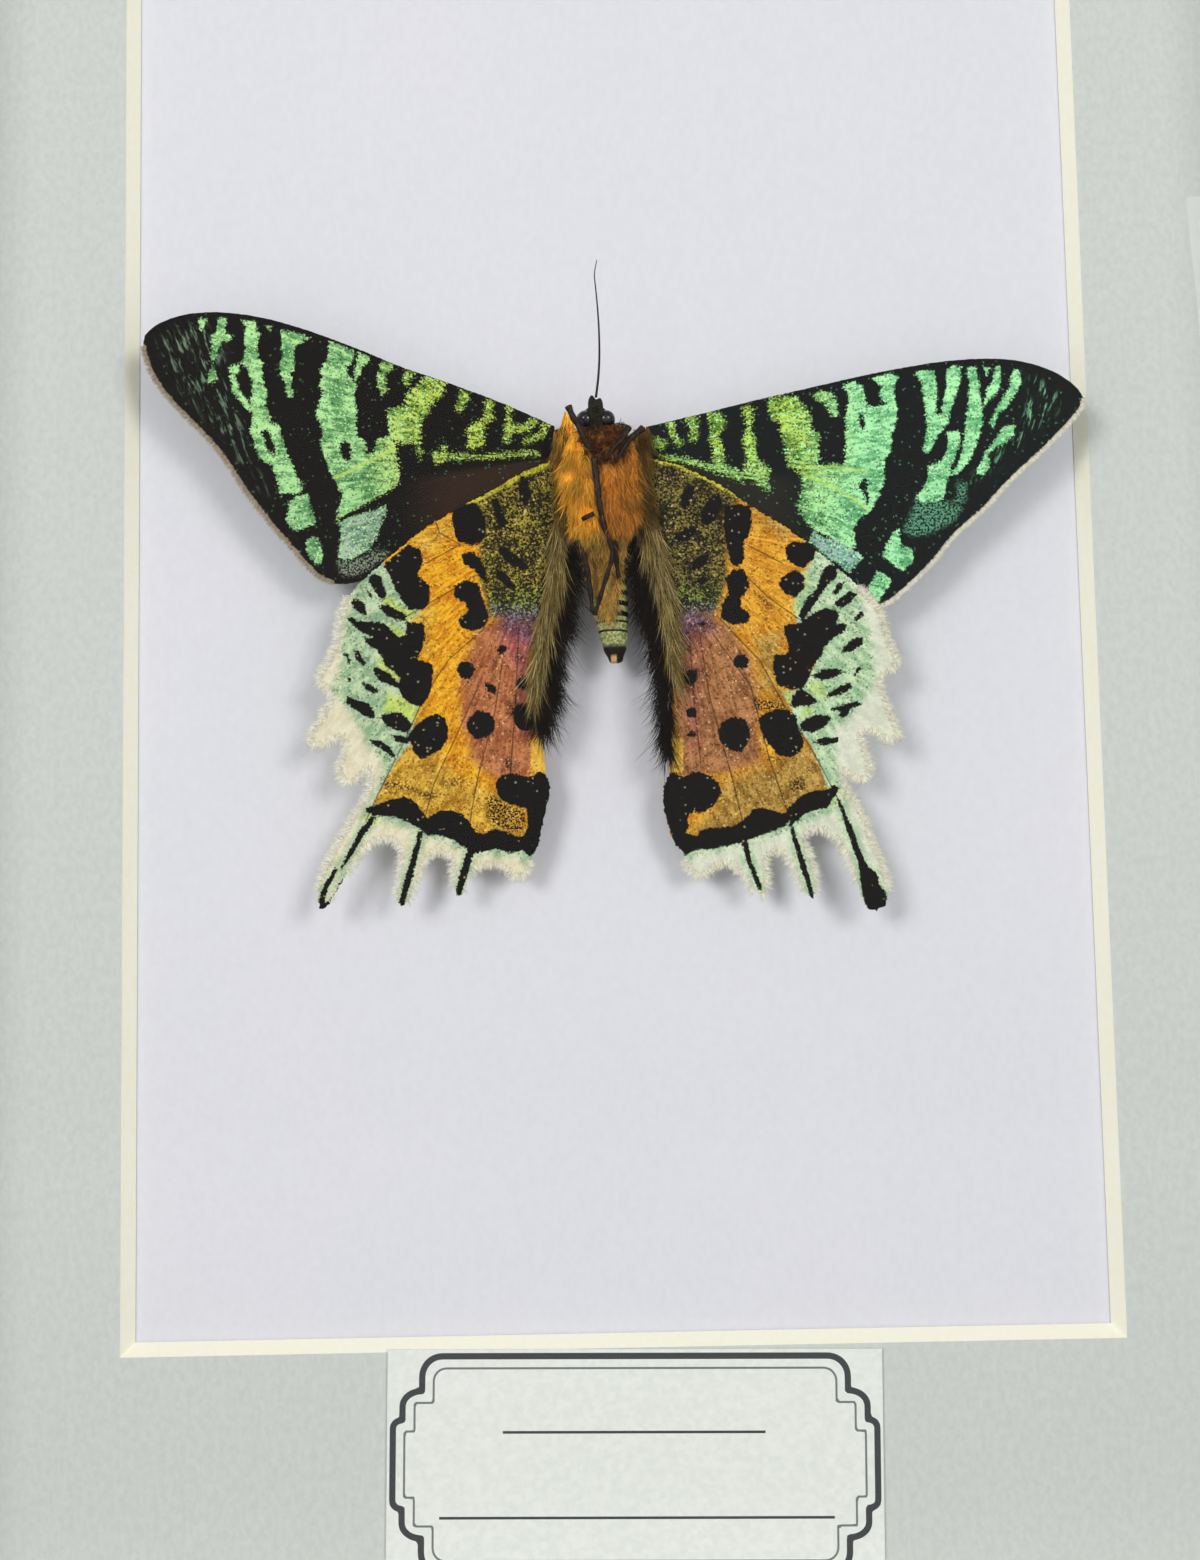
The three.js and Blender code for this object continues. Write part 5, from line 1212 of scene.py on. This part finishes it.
def wing_base_fur():
    # Tan strands: the middle tints are their own colour, the near-white tint is a painted highlight on the
    # strands, and the darkest olive is painted shade between them
    tan = (colour(82, 64, 24), colour(170, 138, 62), colour(252, 232, 160), colour(118, 92, 40))
    # dark: near-black hair beside the body, partly its own dark brown and partly painted shade of hair lying
    # in the body's shadow
    dark = {"length": (1.8, 3.8), "tints": (colour(16, 12, 10), colour(48, 38, 30)), "floor": 4.2,
            "spread": 0.2, "radius": 0.034}
    pale = {"tints": tan, "floor": 4.8, "spread": 0.05, "clump": 0.06, "tuft": 0.5, "gather": 0.8}
    fur("dark_shaded_hair_left",
        [(-3.4, 5.0), (-3.7, 0.0), (-4.9, -5.0), (-5.6, -10.6), (-6.6, -14.2), (-7.4, -13.0), (-6.8, -8.0),
         (-5.4, -2.0), (-4.6, 3.4)], 2600, flow=((0.05, -0.99, 0.0), (0.42, -0.9, 0.0)), **dark)
    fur("dark_shaded_hair_right",
        [(2.2, 5.0), (2.7, -0.6), (3.9, -5.0), (4.5, -9.0), (4.8, -15.4), (5.6, -16.4), (5.6, -9.0),
         (4.8, -3.6), (3.6, 1.6), (2.6, 5.0)], 2600, flow=((-0.34, -0.93, 0.0), (-0.04, -0.99, 0.0)),
**dark)
    fur("tuft_left",
        [(-4.6, 9.0), (-4.5, 3.0), (-5.6, -2.0), (-6.6, -7.0), (-7.2, -10.2), (-7.5, -9.6), (-7.6, -6.6),
         (-6.8, -2.0), (-5.7, 3.0), (-5.2, 8.0)], 1800,
        flow=((-0.2, -0.97, 0.12), (-0.06, -0.99, 0.14)), length=(2.6, 5.0), **pale)
    fur("tuft_right",
        [(3.2, 8.4), (4.6, 7.0), (5.6, 1.0), (6.1, -4.4), (5.9, -8.0), (5.6, -8.0), (5.1, -4.0), (4.3, 1.6),
         (3.2, 5.0)], 1800,
        flow=((0.08, -0.99, 0.14), (0.24, -0.96, 0.12)), length=(2.4, 4.8), **pale)


# Fringes: the hairs start at least this far outside a black marking, given as a negative distance into it
INK_GAP = -0.2
# Where they start against the wing's face, how far they rise from it, and their spread along u, v and h
FRINGE_LEVELS = (-0.12, 0.02)
FRINGE_RISE = 0.12
FRINGE_SPREAD = 0.2
FRINGE_FLATNESS = (1, 1, 0.15)
FINE_CURL = 0.1
# A hindwing's fringe runs beyond this u below the first v, and everywhere below the second
HIND_FRINGE_U = 12
HIND_FRINGE_V = (-0.5, -24.5)


def fringe(name, wing, count, chosen, outward, length, tints, slot, inset, radius=0.035, down=0.0):
    """Hairs along the chosen points of a wing's outline. The hairs on a black marking are left out."""
    spots = RANDOM.choice(np.flatnonzero(chosen), count)
    step = wing.rim[(spots + 1) % len(wing.rim)] - wing.rim[spots]
    flat = wing.rim[spots] + step * RANDOM.uniform(0, 1, count)[:, None]
    flat = flat - wing.normals[spots] * RANDOM.uniform(*inset, count)[:, None]
    if "ink" in wing.markings:
        clear = field(wing.seen(flat), wing.markings["ink"]) < INK_GAP
        spots, flat = spots[clear], flat[clear]
    count = len(flat)
    level = wing.level(flat) + RANDOM.uniform(*FRINGE_LEVELS, count)
    roots = np.column_stack([flat[:, 0], flat[:, 1] - MIDDLE_Z, BOARD_Y - level])
    out = wing.normals[spots] * outward + np.array([0, -down])
    directions = np.column_stack([out, np.full(count, FRINGE_RISE)])
    directions = directions + RANDOM.normal(0, FRINGE_SPREAD, (count, 3)) * FRINGE_FLATNESS
    lengths = RANDOM.uniform(*length, count)
    radii = RANDOM.uniform(*HAIR_WIDTHS, count) * radius
    bends = RANDOM.normal(0, FINE_CURL, (count, 3))
    hairs = hair_mesh(name, roots, directions, lengths, radii, bends, mixed_shades(tints, count), slot)
    hairs.visible_shadow = False


def wing_fringes(made):
    cream = (colour(255, 250, 228), colour(255, 254, 242), colour(246, 238, 212))
    tan = (colour(150, 130, 104), colour(206, 194, 170))
    for key, tints in (("fore_left", tan), ("fore_right", cream)):
        fringe("fringe_" + key, made[key], 2600, made[key].termen, outward=1.0, length=(0.2, 0.45),
               tints=tints, slot="forewing_scales", inset=(0.0, 0.3))
    for key in ("hind_left", "hind_right"):
        wing = made[key]
        v = wing.rim[:, 1] - MIDDLE_Z
        out = wing.rim[:, 0] * wing.side
        chosen = (v < HIND_FRINGE_V[0]) & (out > HIND_FRINGE_U) | (v < HIND_FRINGE_V[1])
        fringe("fringe_" + key, wing, 5600, chosen, outward=0.9, length=(0.4, 0.95), tints=cream,
               slot="hindwing_scales", inset=(0.0, 0.5), radius=0.04, down=0.3)


def smooth_path(points, steps):
    """A curve through the points, with steps samples from each to the next."""
    points = np.asarray(points, float)
    padded = np.vstack([2 * points[0] - points[1], points, 2 * points[-1] - points[-2]])
    rows = []
    for before, start, end, after in zip(padded, padded[1:], padded[2:], padded[3:]):
        for share in np.arange(steps) / steps:
            rows.append(0.5 * (2 * start + (end - before) * share
                               + (2 * before - 5 * start + 4 * end - after) * share ** 2
                               + (3 * start - before - 3 * end + after) * share ** 3))
    return np.vstack([rows, points[-1]])


def round_tube(path, radii, sides=12):
    """Vertices and triangles of a closed tube along a path of (u, v, h) points."""
    along = np.gradient(path, axis=0)
    along /= np.linalg.norm(along, axis=1)[:, None]
    side = np.cross(along, (0.0, 0.0, 1.0))
    side /= np.maximum(np.linalg.norm(side, axis=1), TINY)[:, None]
    other = np.cross(along, side)
    angles = np.arange(sides) * math.tau / sides
    ring = np.cos(angles)[None, :, None] * side[:, None] + np.sin(angles)[None, :, None] * other[:, None]
    points = (path[:, None] + ring * radii[:, None, None]).reshape(-1, 3)
    points = np.vstack([points, path[0], path[-1]])
    start, end = len(points) - 2, len(points) - 1
    faces = []
    for row in range(len(path) - 1):
        for corner in range(sides):
            low = row * sides + corner
            low_next = row * sides + (corner + 1) % sides
            faces += [(low, low + sides, low_next + sides), (low, low_next + sides, low_next)]
    last = (len(path) - 1) * sides
    for corner in range(sides):
        after = (corner + 1) % sides
        faces += [(start, corner, after), (end, last + after, last + corner)]
    return points, np.array(faces)


# Centre lines of the folded legs, as (u, v, h), from where each comes out of the fur to its claws
LEGS = {
    "foreleg_left": [(-3.8, 17.1, 8.2), (-3.3, 15.9, 8.2), (-2.6, 14.7, 8.0), (-1.9, 13.1, 8.0),
                     (-1.6, 12.5, 8.0)],
    "foreleg_right": [(2.0, 15.1, 7.6), (1.2, 13.7, 8.0), (0.4, 12.7, 8.3), (-0.3, 11.6, 8.5)],
    "midleg_left": [(-1.4, 11.8, 8.4), (-1.25, 10.3, 8.5), (-1.1, 8.6, 8.6), (-0.9, 7.0, 8.6),
                    (-0.65, 5.5, 8.4), (0.1, 3.4, 7.8), (0.2, 2.4, 7.3), (-0.4, 0.6, 6.8),
                    (-1.0, -1.2, 6.2), (-1.6, -2.9, 5.6)],
    "midleg_right": [(3.4, 15.1, 7.2), (2.4, 14.2, 7.5), (1.8, 13.4, 7.9), (1.2, 12.4, 8.3),
                     (0.7, 11.5, 8.5)],
    "hindleg_left": [(-3.3, 4.1, 7.0), (-2.6, 2.8, 6.8), (-2.2, 1.2, 6.4), (-1.95, -0.8, 5.9),
                     (-1.8, -2.6, 5.6)],
    "hindleg_right": [(0.8, 4.7, 6.2), (0.5, 3.8, 7.2), (0.6, 2.2, 6.3), (0.8, 0.7, 5.8)],
}
LEG_STUB = [(-2.6, 5.9, 8.5), (-2.1, 6.1, 8.8), (-1.5, 6.35, 8.9)]
ANTENNA = [(-1.1, 18.2, 7.3), (-0.85, 20.0, 7.6), (-0.7, 22.0, 8.1), (-0.7, 24.4, 8.7), (-0.8, 26.4, 9.2),
           (-0.95, 28.3, 9.6), (-1.05, 29.6, 9.9), (-0.8, 30.9, 10.2)]
LEG_RADIUS = 0.27
LEG_CLEARANCE = 0.65
# A leg's radius at its start, how much of it is gone at the claws, and how far its joints stand out
LEG_START, LEG_TAPER, LEG_KNOTS = 0.34, 0.15, 0.035
STUB_RADIUS = 0.24
ANTENNA_START, ANTENNA_TAPER = 0.125, 0.085
PATH_STEPS = 8
# Bristles for each point of a leg's centre line, their radius, lengths and spread
BRISTLES = 60
BRISTLE_RADIUS = 0.025
BRISTLE_LENGTHS = (0.3, 0.6)
BRISTLE_SPREAD = 0.25


def chitin_look():
    look = Look("chitin", roughness=0.4, specular=0.18)
    grain = look.noise(look.place(), 4.0, 3.0, 0.6)
    look.bump(grain, 0.5, 0.05)
    return look.done(look.mix(look.blend_in(grain, 0.35, 0.7), colour(16, 11, 8), colour(58, 40, 24)))


def bristles(name, path, count):
    """Short hairs along the middle of a leg."""
    brown = colour(30, 21, 14)
    spots = RANDOM.integers(1, len(path) - 1, count)
    directions = path[spots + 1] - path[spots - 1] + RANDOM.normal(0, BRISTLE_SPREAD, (count, 3))
    lengths = RANDOM.uniform(*BRISTLE_LENGTHS, count)
    radii = np.full(count, BRISTLE_RADIUS)
    bends = RANDOM.normal(0, FINE_CURL, (count, 3))
    shades = mixed_shades((brown, brown, colour(112, 84, 52)), count)
    hair_mesh(name, path[spots], directions, lengths, radii, bends, shades, "chitin")


def legs_and_antenna():
    chitin = chitin_look()
    for name, points in LEGS.items():
        points = np.array(points)
        clear = body_surface(points[:, :2]) + LEG_CLEARANCE + LEG_RADIUS
        points[:, 2] = np.maximum(points[:, 2], clear)
        path = smooth_path(points, PATH_STEPS)
        share = np.linspace(0, 1, len(path))
        knots = LEG_KNOTS * np.cos(share * (len(points) - 1) * math.tau)
        vertices, faces = round_tube(path, LEG_START - LEG_TAPER * share + knots)
        show(make_mesh(name + "_shaft", world_points(vertices), faces), chitin, "chitin", name)
        bristles(name + "_bristles", path, BRISTLES * len(points))
    stub, faces = round_tube(np.array(LEG_STUB), np.full(len(LEG_STUB), STUB_RADIUS))
    show(make_mesh("leg_stub", world_points(stub), faces), chitin, "chitin")
    path = smooth_path(ANTENNA, PATH_STEPS)
    share = np.linspace(0, 1, len(path))
    vertices, faces = round_tube(path, ANTENNA_START - ANTENNA_TAPER * share, 10)
    show(make_mesh("antenna_shaft", world_points(vertices), faces), chitin, "chitin", "antenna")


def ball(middle, half, detail):
    """Vertices and triangles of a round part."""
    grid = bmesh.new()
    bmesh.ops.create_icosphere(grid, subdivisions=detail, radius=1.0)
    grid.verts.ensure_lookup_table()
    points = np.array([vertex.co for vertex in grid.verts]) * half + middle
    faces = np.array([[vertex.index for vertex in face.verts] for face in grid.faces])
    grid.free()
    return points, faces


def joined(parts):
    """One set of vertices and triangles from several."""
    points, faces, start = [], [], 0
    for part_points, part_faces in parts:
        points.append(part_points)
        faces.append(part_faces + start)
        start += len(part_points)
    return np.vstack(points), np.vstack(faces)


def abdomen_form():
    """The abdomen as a tapering tube with a shallow groove between its rings."""
    share = np.linspace(0, 1, ABDOMEN_ROWS)
    top = np.array((*ABDOMEN_TOP, ABDOMEN_HEIGHT))
    tip = np.array((*ABDOMEN_TIP, ABDOMEN_HEIGHT + ABDOMEN_TIP_RISE))
    path = top + (tip - top) * share[:, None]
    off = (share - ABDOMEN_WIDEST) / ABDOMEN_REACH
    body = ABDOMEN_RADIUS * np.sqrt(np.clip(1 - off ** 2, 0.02, 1))
    rings = GROOVE_DEPTH * np.cos(share * ABDOMEN_GROOVES * math.tau)
    return round_tube(path, body + rings * (share > GROOVES_START), ABDOMEN_SIDES)


def body_look():
    """Orange-brown under the thorax's fur, dark head, and an olive abdomen with dark bars."""
    look = Look("moth_skin", roughness=0.55, specular=0.15)
    place = look.place()
    grain = look.noise(place, 3.5, 3.0, 0.6)
    spot = look.axis(place, "Z")
    across = look.axis(place, "X")

    def above(low, high):
        """0 below the first v, and 1 above the second."""
        return look.blend_in(spot, MIDDLE_Z + low, MIDDLE_Z + high)

    bars = look.maths("SINE", look.times(spot, math.tau / BAR_SPACING))
    right_side = look.times(look.blend_in(across, 0.3, 0.7), above(-3.6, -3.2))
    belly = look.mix(look.blend_in(grain, 0.35, 0.65), colour(112, 116, 60), colour(196, 200, 138))
    belly = look.mix(look.times(look.blend_in(bars, -0.1, 0.3), right_side), belly, colour(14, 12, 9))
    for level in ABDOMEN_RINGS:
        gap = look.apart(spot, MIDDLE_Z + level)
        belly = look.mix(look.blend_in(gap, 0.16, 0.05), belly, colour(20, 17, 12))
    slit = look.times(above(-6.5, -6.9), look.blend_in(look.apart(across, 0.2), 0.35, 0.2))
    belly = look.layered(
        belly,
        (look.minus(1.0, above(-6.0, -5.4)), colour(26, 20, 16)),
        (slit, colour(206, 168, 112)),
    )
    skin = look.layered(
        look.mix(grain, colour(120, 70, 22), colour(206, 140, 54)),
        (look.minus(1.0, above(3.0, 4.6)), belly),
        (above(14.6, 15.4), look.mix(grain, colour(14, 11, 9), colour(50, 40, 28))),
    )
    look.bump(grain, 0.6, 0.08)
    return look.done(skin)


def eye_look():
    look = Look("eye", roughness=0.18, specular=0.6)
    facets = look.cells(look.place(), 9.0)
    look.bump(facets, 0.3, 0.02)
    return look.done(look.mix(facets, colour(8, 6, 5), colour(26, 18, 13)))


def body():
    parts = [ball(middle, half, BODY_DETAIL) for middle, half in ROUND_PARTS.values()]
    points, faces = joined([*parts, abdomen_form()])
    form = make_mesh("moth_body_skin", world_points(points), faces[:, ::-1])
    melt = form.modifiers.new("melt", "REMESH")
    melt.mode = "VOXEL"
    melt.voxel_size = BODY_VOXEL * MM
    melt.use_smooth_shade = True
    settled = bpy.data.meshes.new_from_object(form.evaluated_get(bpy.context.evaluated_depsgraph_get()))
    form.modifiers.clear()
    form.data = settled
    show(form, body_look(), "moth_fur", "moth_body")
    points, faces = joined([ball(middle, half, EYE_DETAIL) for middle, half in EYES.values()])
    show(make_mesh("eyes", world_points(points), faces[:, ::-1]), eye_look(), "chitin")


# The label's printed border, right of and below the middle of its top edge. A corner runs from its first
# place to its second as a quarter of an ellipse, or straight where the two are level.
LABEL_MIDDLE = 10.65
THICK_CORNERS = [(18.4, 0.62, 20.3, 2.52), (20.3, 3.85, 22.15, 5.25), (22.15, 6.55, 23.05, 7.25)]
THIN_CORNERS = [(18.0, 1.75, 19.2, 2.95), (19.2, 4.95, 21.0, 4.95), (21.0, 7.6, 21.95, 7.6)]
THICK_LINE, THIN_LINE, RULED_LINE = 0.6, 0.2, 0.25
# Each ruled line: how far down it is, and where it starts and ends
RULED_LINES = [(7.7, -12.6, 12.4), (15.6, -18.6, 18.9)]
LABEL_THICKNESS = 0.25
LABEL_RIM_STEP, LABEL_GRID_STEP = 0.5, 0.36


def border(corners):
    """The closed border whose top right quarter has these corners."""
    quarter = []
    for start_x, start_y, end_x, end_y in corners:
        for turn in np.linspace(0, math.pi / 2, 9):
            x = start_x + (end_x - start_x) * math.sin(turn)
            quarter.append((x, end_y - (end_y - start_y) * math.cos(turn)))
    quarter = np.array(quarter)
    right = np.vstack([quarter, (quarter * (1, -1) + (0, 2 * LABEL_MIDDLE))[::-1]])
    return np.vstack([right, (right * (-1, 1))[::-1]])


def label_look():
    look = Look("label_card", roughness=0.75, specular=0.3)
    fibre = look.noise(look.place(), 1.6, 4.0, 0.6)
    card = look.mix(look.blend_in(fibre, 0.3, 0.7), colour(233, 236, 229), colour(243, 245, 239))
    card_mm = look.vector("card_mm")
    across = look.axis(card_mm, "X")
    down = look.axis(card_mm, "Y")
    thin = look.maths("LESS_THAN", look.apart(look.number("thin")), THIN_LINE / 2)
    ink = look.maths("LESS_THAN", look.apart(look.number("thick")), THICK_LINE / 2)
    for level, start, end in RULED_LINES:
        row = look.maths("LESS_THAN", look.apart(down, level), RULED_LINE / 2)
        within = look.times(look.maths("GREATER_THAN", across, start), look.maths("LESS_THAN", across, end))
        ink = look.most(ink, look.times(row, within))
    look.bump(fibre, 0.3, 0.04)
    return look.done(look.layered(card, (thin, colour(120, 124, 122)), (ink, colour(66, 68, 70))))


def label():
    rim = front_outline("label")
    corners = rim[:, [0, 2]]
    high_left = corners[np.argmin(corners @ (1, -1))]
    high_right = corners[np.argmax(corners @ (1, 1))]
    low_left = corners[np.argmin(corners @ (1, 1))]
    right = (high_right - high_left) / np.linalg.norm(high_right - high_left)
    down = (low_left - high_left) / np.linalg.norm(low_left - high_left)
    outline = fine_outline(corners, LABEL_RIM_STEP, 0.0)
    flat, triangles = filled_outline(outline, corners, LABEL_GRID_STEP)
    place = flat - (high_left + high_right) / 2
    card = np.column_stack([place @ right, place @ down, np.zeros(len(flat))])
    attributes = {
        "card_mm": card,
        "thick": inside_distance(card[:, :2], border(THICK_CORNERS)),
        "thin": inside_distance(card[:, :2], border(THIN_CORNERS)),
    }
    front_y = np.full(len(flat), rim[:, 1].mean())
    sheet = closed_sheet("label_print", flat, triangles, front_y, LABEL_THICKNESS, attributes)
    show(sheet, label_look(), "label_card", "label")


def wood_look(name, scale):
    """Stained wood. The scale is smallest along its grain."""
    look = Look(name, roughness=0.38, specular=0.5)
    grain = look.noise(look.stretch(look.place(), scale), 1.6, 6.0, 0.65)
    pores = look.noise(look.stretch(look.place(), tuple(7 * part for part in scale)), 1.4, 3.0, 0.6)
    tint = look.mix(look.blend_in(grain, 0.32, 0.68), colour(38, 22, 13), colour(92, 56, 34))
    tint = look.mix(look.blend_in(pores, 0.58, 0.72), tint, colour(24, 14, 9))
    look.bump(look.sum_of((grain, 1.0), (pores, 0.6)), 0.35, 0.12)
    return look.done(tint)


def paper_look(name, dark, bright, scale, roughness=0.85, laid=0.0):
    """Card or board with a fibrous surface, and fine laid lines where asked."""
    look = Look(name, roughness=roughness, specular=0.25)
    fibre = look.noise(look.stretch(look.place(), (1.0, 1.0, 0.7)), scale, 4.0, 0.65)
    height = fibre
    if laid:
        lines = look.noise(look.stretch(look.place(), (0.9, 0.9, 0.05)), 2.2, 2.0)
        height = look.sum_of((fibre, 1.0), (lines, laid))
    look.bump(height, 0.3, 0.08)
    return look.done(look.mix(look.blend_in(fibre, 0.3, 0.7), dark, bright))


def metal_look(name, dark, bright, roughness):
    look = Look(name, roughness=roughness, metallic=1.0)
    scuffs = look.noise(look.stretch(look.place(), (0.4, 3.0, 3.0)), 1.5, 4.0, 0.6)
    look.bump(scuffs, 0.2, 0.03)
    return look.done(look.mix(scuffs, dark, bright))


def glass_look():
    """A clear, low-reflection pane."""
    look = Look("pane", roughness=0.0, specular=0.5)
    look.shader.inputs["Transmission Weight"].default_value = 1.0
    look.shader.inputs["IOR"].default_value = 1.2
    haze = look.noise(look.place(), 0.05, 3.0)
    return look.done(look.mix(haze, colour(250, 253, 251), colour(255, 255, 255)))


def frame_and_sheets():
    """Materials for the CAD nodes that stay in view."""
    lying = wood_look("frame_wood_lying", (0.02, 0.35, 0.35))
    standing = wood_look("frame_wood_standing", (0.35, 0.35, 0.02))
    spacer = paper_look("spacer_foam", colour(222, 221, 215), colour(238, 237, 232), 1.2)
    zinc = metal_look("zinc", colour(120, 122, 124), colour(176, 178, 180), 0.42)
    brass = metal_look("brass", colour(150, 116, 54), colour(206, 172, 98), 0.35)
    for side, wood in (("top", lying), ("bottom", lying), ("left", standing), ("right", standing)):
        wear(NODES["frame_rail_" + side], wood)
        wear(NODES["spacer_" + side], spacer)
    for name, node in NODES.items():
        if name.startswith("panel_point"):
            wear(node, zinc)
        if "hanger" in name:
            wear(node, brass)
    wear(NODES["back_panel"], paper_look("hardboard", colour(104, 74, 48), colour(150, 112, 76), 0.9, 0.7))
    wear(NODES["backing_board"], paper_look("board", colour(227, 226, 232), colour(231, 230, 236), 1.8))
    wear(NODES["glass"], glass_look())
    NODES["glass"].visible_shadow = False
    NODES["glass"].visible_diffuse = False
    NODES["glass"].visible_glossy = False
    wear(NODES["mat"], paper_look("mat_face", colour(206, 209, 205), colour(215, 218, 213), 1.6, 0.8, 0.8))
    mat = NODES["mat"].data
    mat.materials.append(paper_look("mat_core", colour(255, 249, 224), colour(255, 253, 238), 2.0, 0.8))
    for face in mat.polygons:
        bevelled = 0.1 < abs(face.normal.y) < 0.9
        face.material_index = 1 if bevelled else 0


# The floor and the light, in metres. Each lamp: its place and its watts.
FLOOR_SIZE = 6
LAMPS = {"soft_left": ((-0.45, -0.75, 0.31), 3.0), "soft_right": ((0.45, -0.75, 0.31), 2.5)}
LAMP_SIZE = 0.3
WORLD_STRENGTH = 0.405


def floor_and_light():
    bpy.ops.mesh.primitive_plane_add(size=FLOOR_SIZE, location=(0, 0, 0))
    ground = bpy.context.object
    ground.name = "floor"
    look = Look("floor", roughness=0.85)
    mottle = look.noise(look.place(), 0.01, 2.0)
    wear(ground, look.done(look.mix(mottle, colour(214, 214, 214), colour(222, 222, 222))))
    for name, (place, watts) in LAMPS.items():
        light = bpy.data.lights.new(name, "AREA")
        light.energy = watts
        light.size = LAMP_SIZE
        lamp = bpy.data.objects.new(name, light)
        lamp.location = place
        aim = Vector((0, 0, MIDDLE_Z * MM)) - Vector(place)
        lamp.rotation_euler = aim.to_track_quat("-Z", "Y").to_euler()
        bpy.context.scene.collection.objects.link(lamp)
    world = bpy.data.worlds.new("studio")
    world.use_nodes = True
    background = world.node_tree.nodes["Background"]
    background.inputs["Color"].default_value = colour(239, 240, 243)
    background.inputs["Strength"].default_value = WORLD_STRENGTH
    bpy.context.scene.world = world
    bpy.context.scene.view_settings.view_transform = "Standard"


def turned(degrees, axis):
    return Matrix.Rotation(math.radians(degrees), 3, axis)


def camera():
    lens = bpy.data.cameras.new("camera")
    lens.lens = CAMERA_LENS
    lens.sensor_width = CAMERA_SENSOR
    lens.clip_start = 0.01
    upright = Matrix(((1, 0, 0), (0, 0, -1), (0, 1, 0)))
    turn = turned(CAMERA_ROLL, "Z") @ turned(CAMERA_YAW, "Y") @ turned(CAMERA_PITCH, "X")
    view = bpy.data.objects.new("camera", lens)
    view.matrix_world = Matrix.Translation(world_points([CAMERA_PLACE])[0] * MM) @ (upright @ turn).to_4x4()
    bpy.context.scene.collection.objects.link(view)
    bpy.context.scene.camera = view


made_wings = wings()
body()
thorax_fur()
wing_base_fur()
wing_fringes(made_wings)
legs_and_antenna()
label()
frame_and_sheets()
floor_and_light()
camera()

bpy.context.view_layer.update()
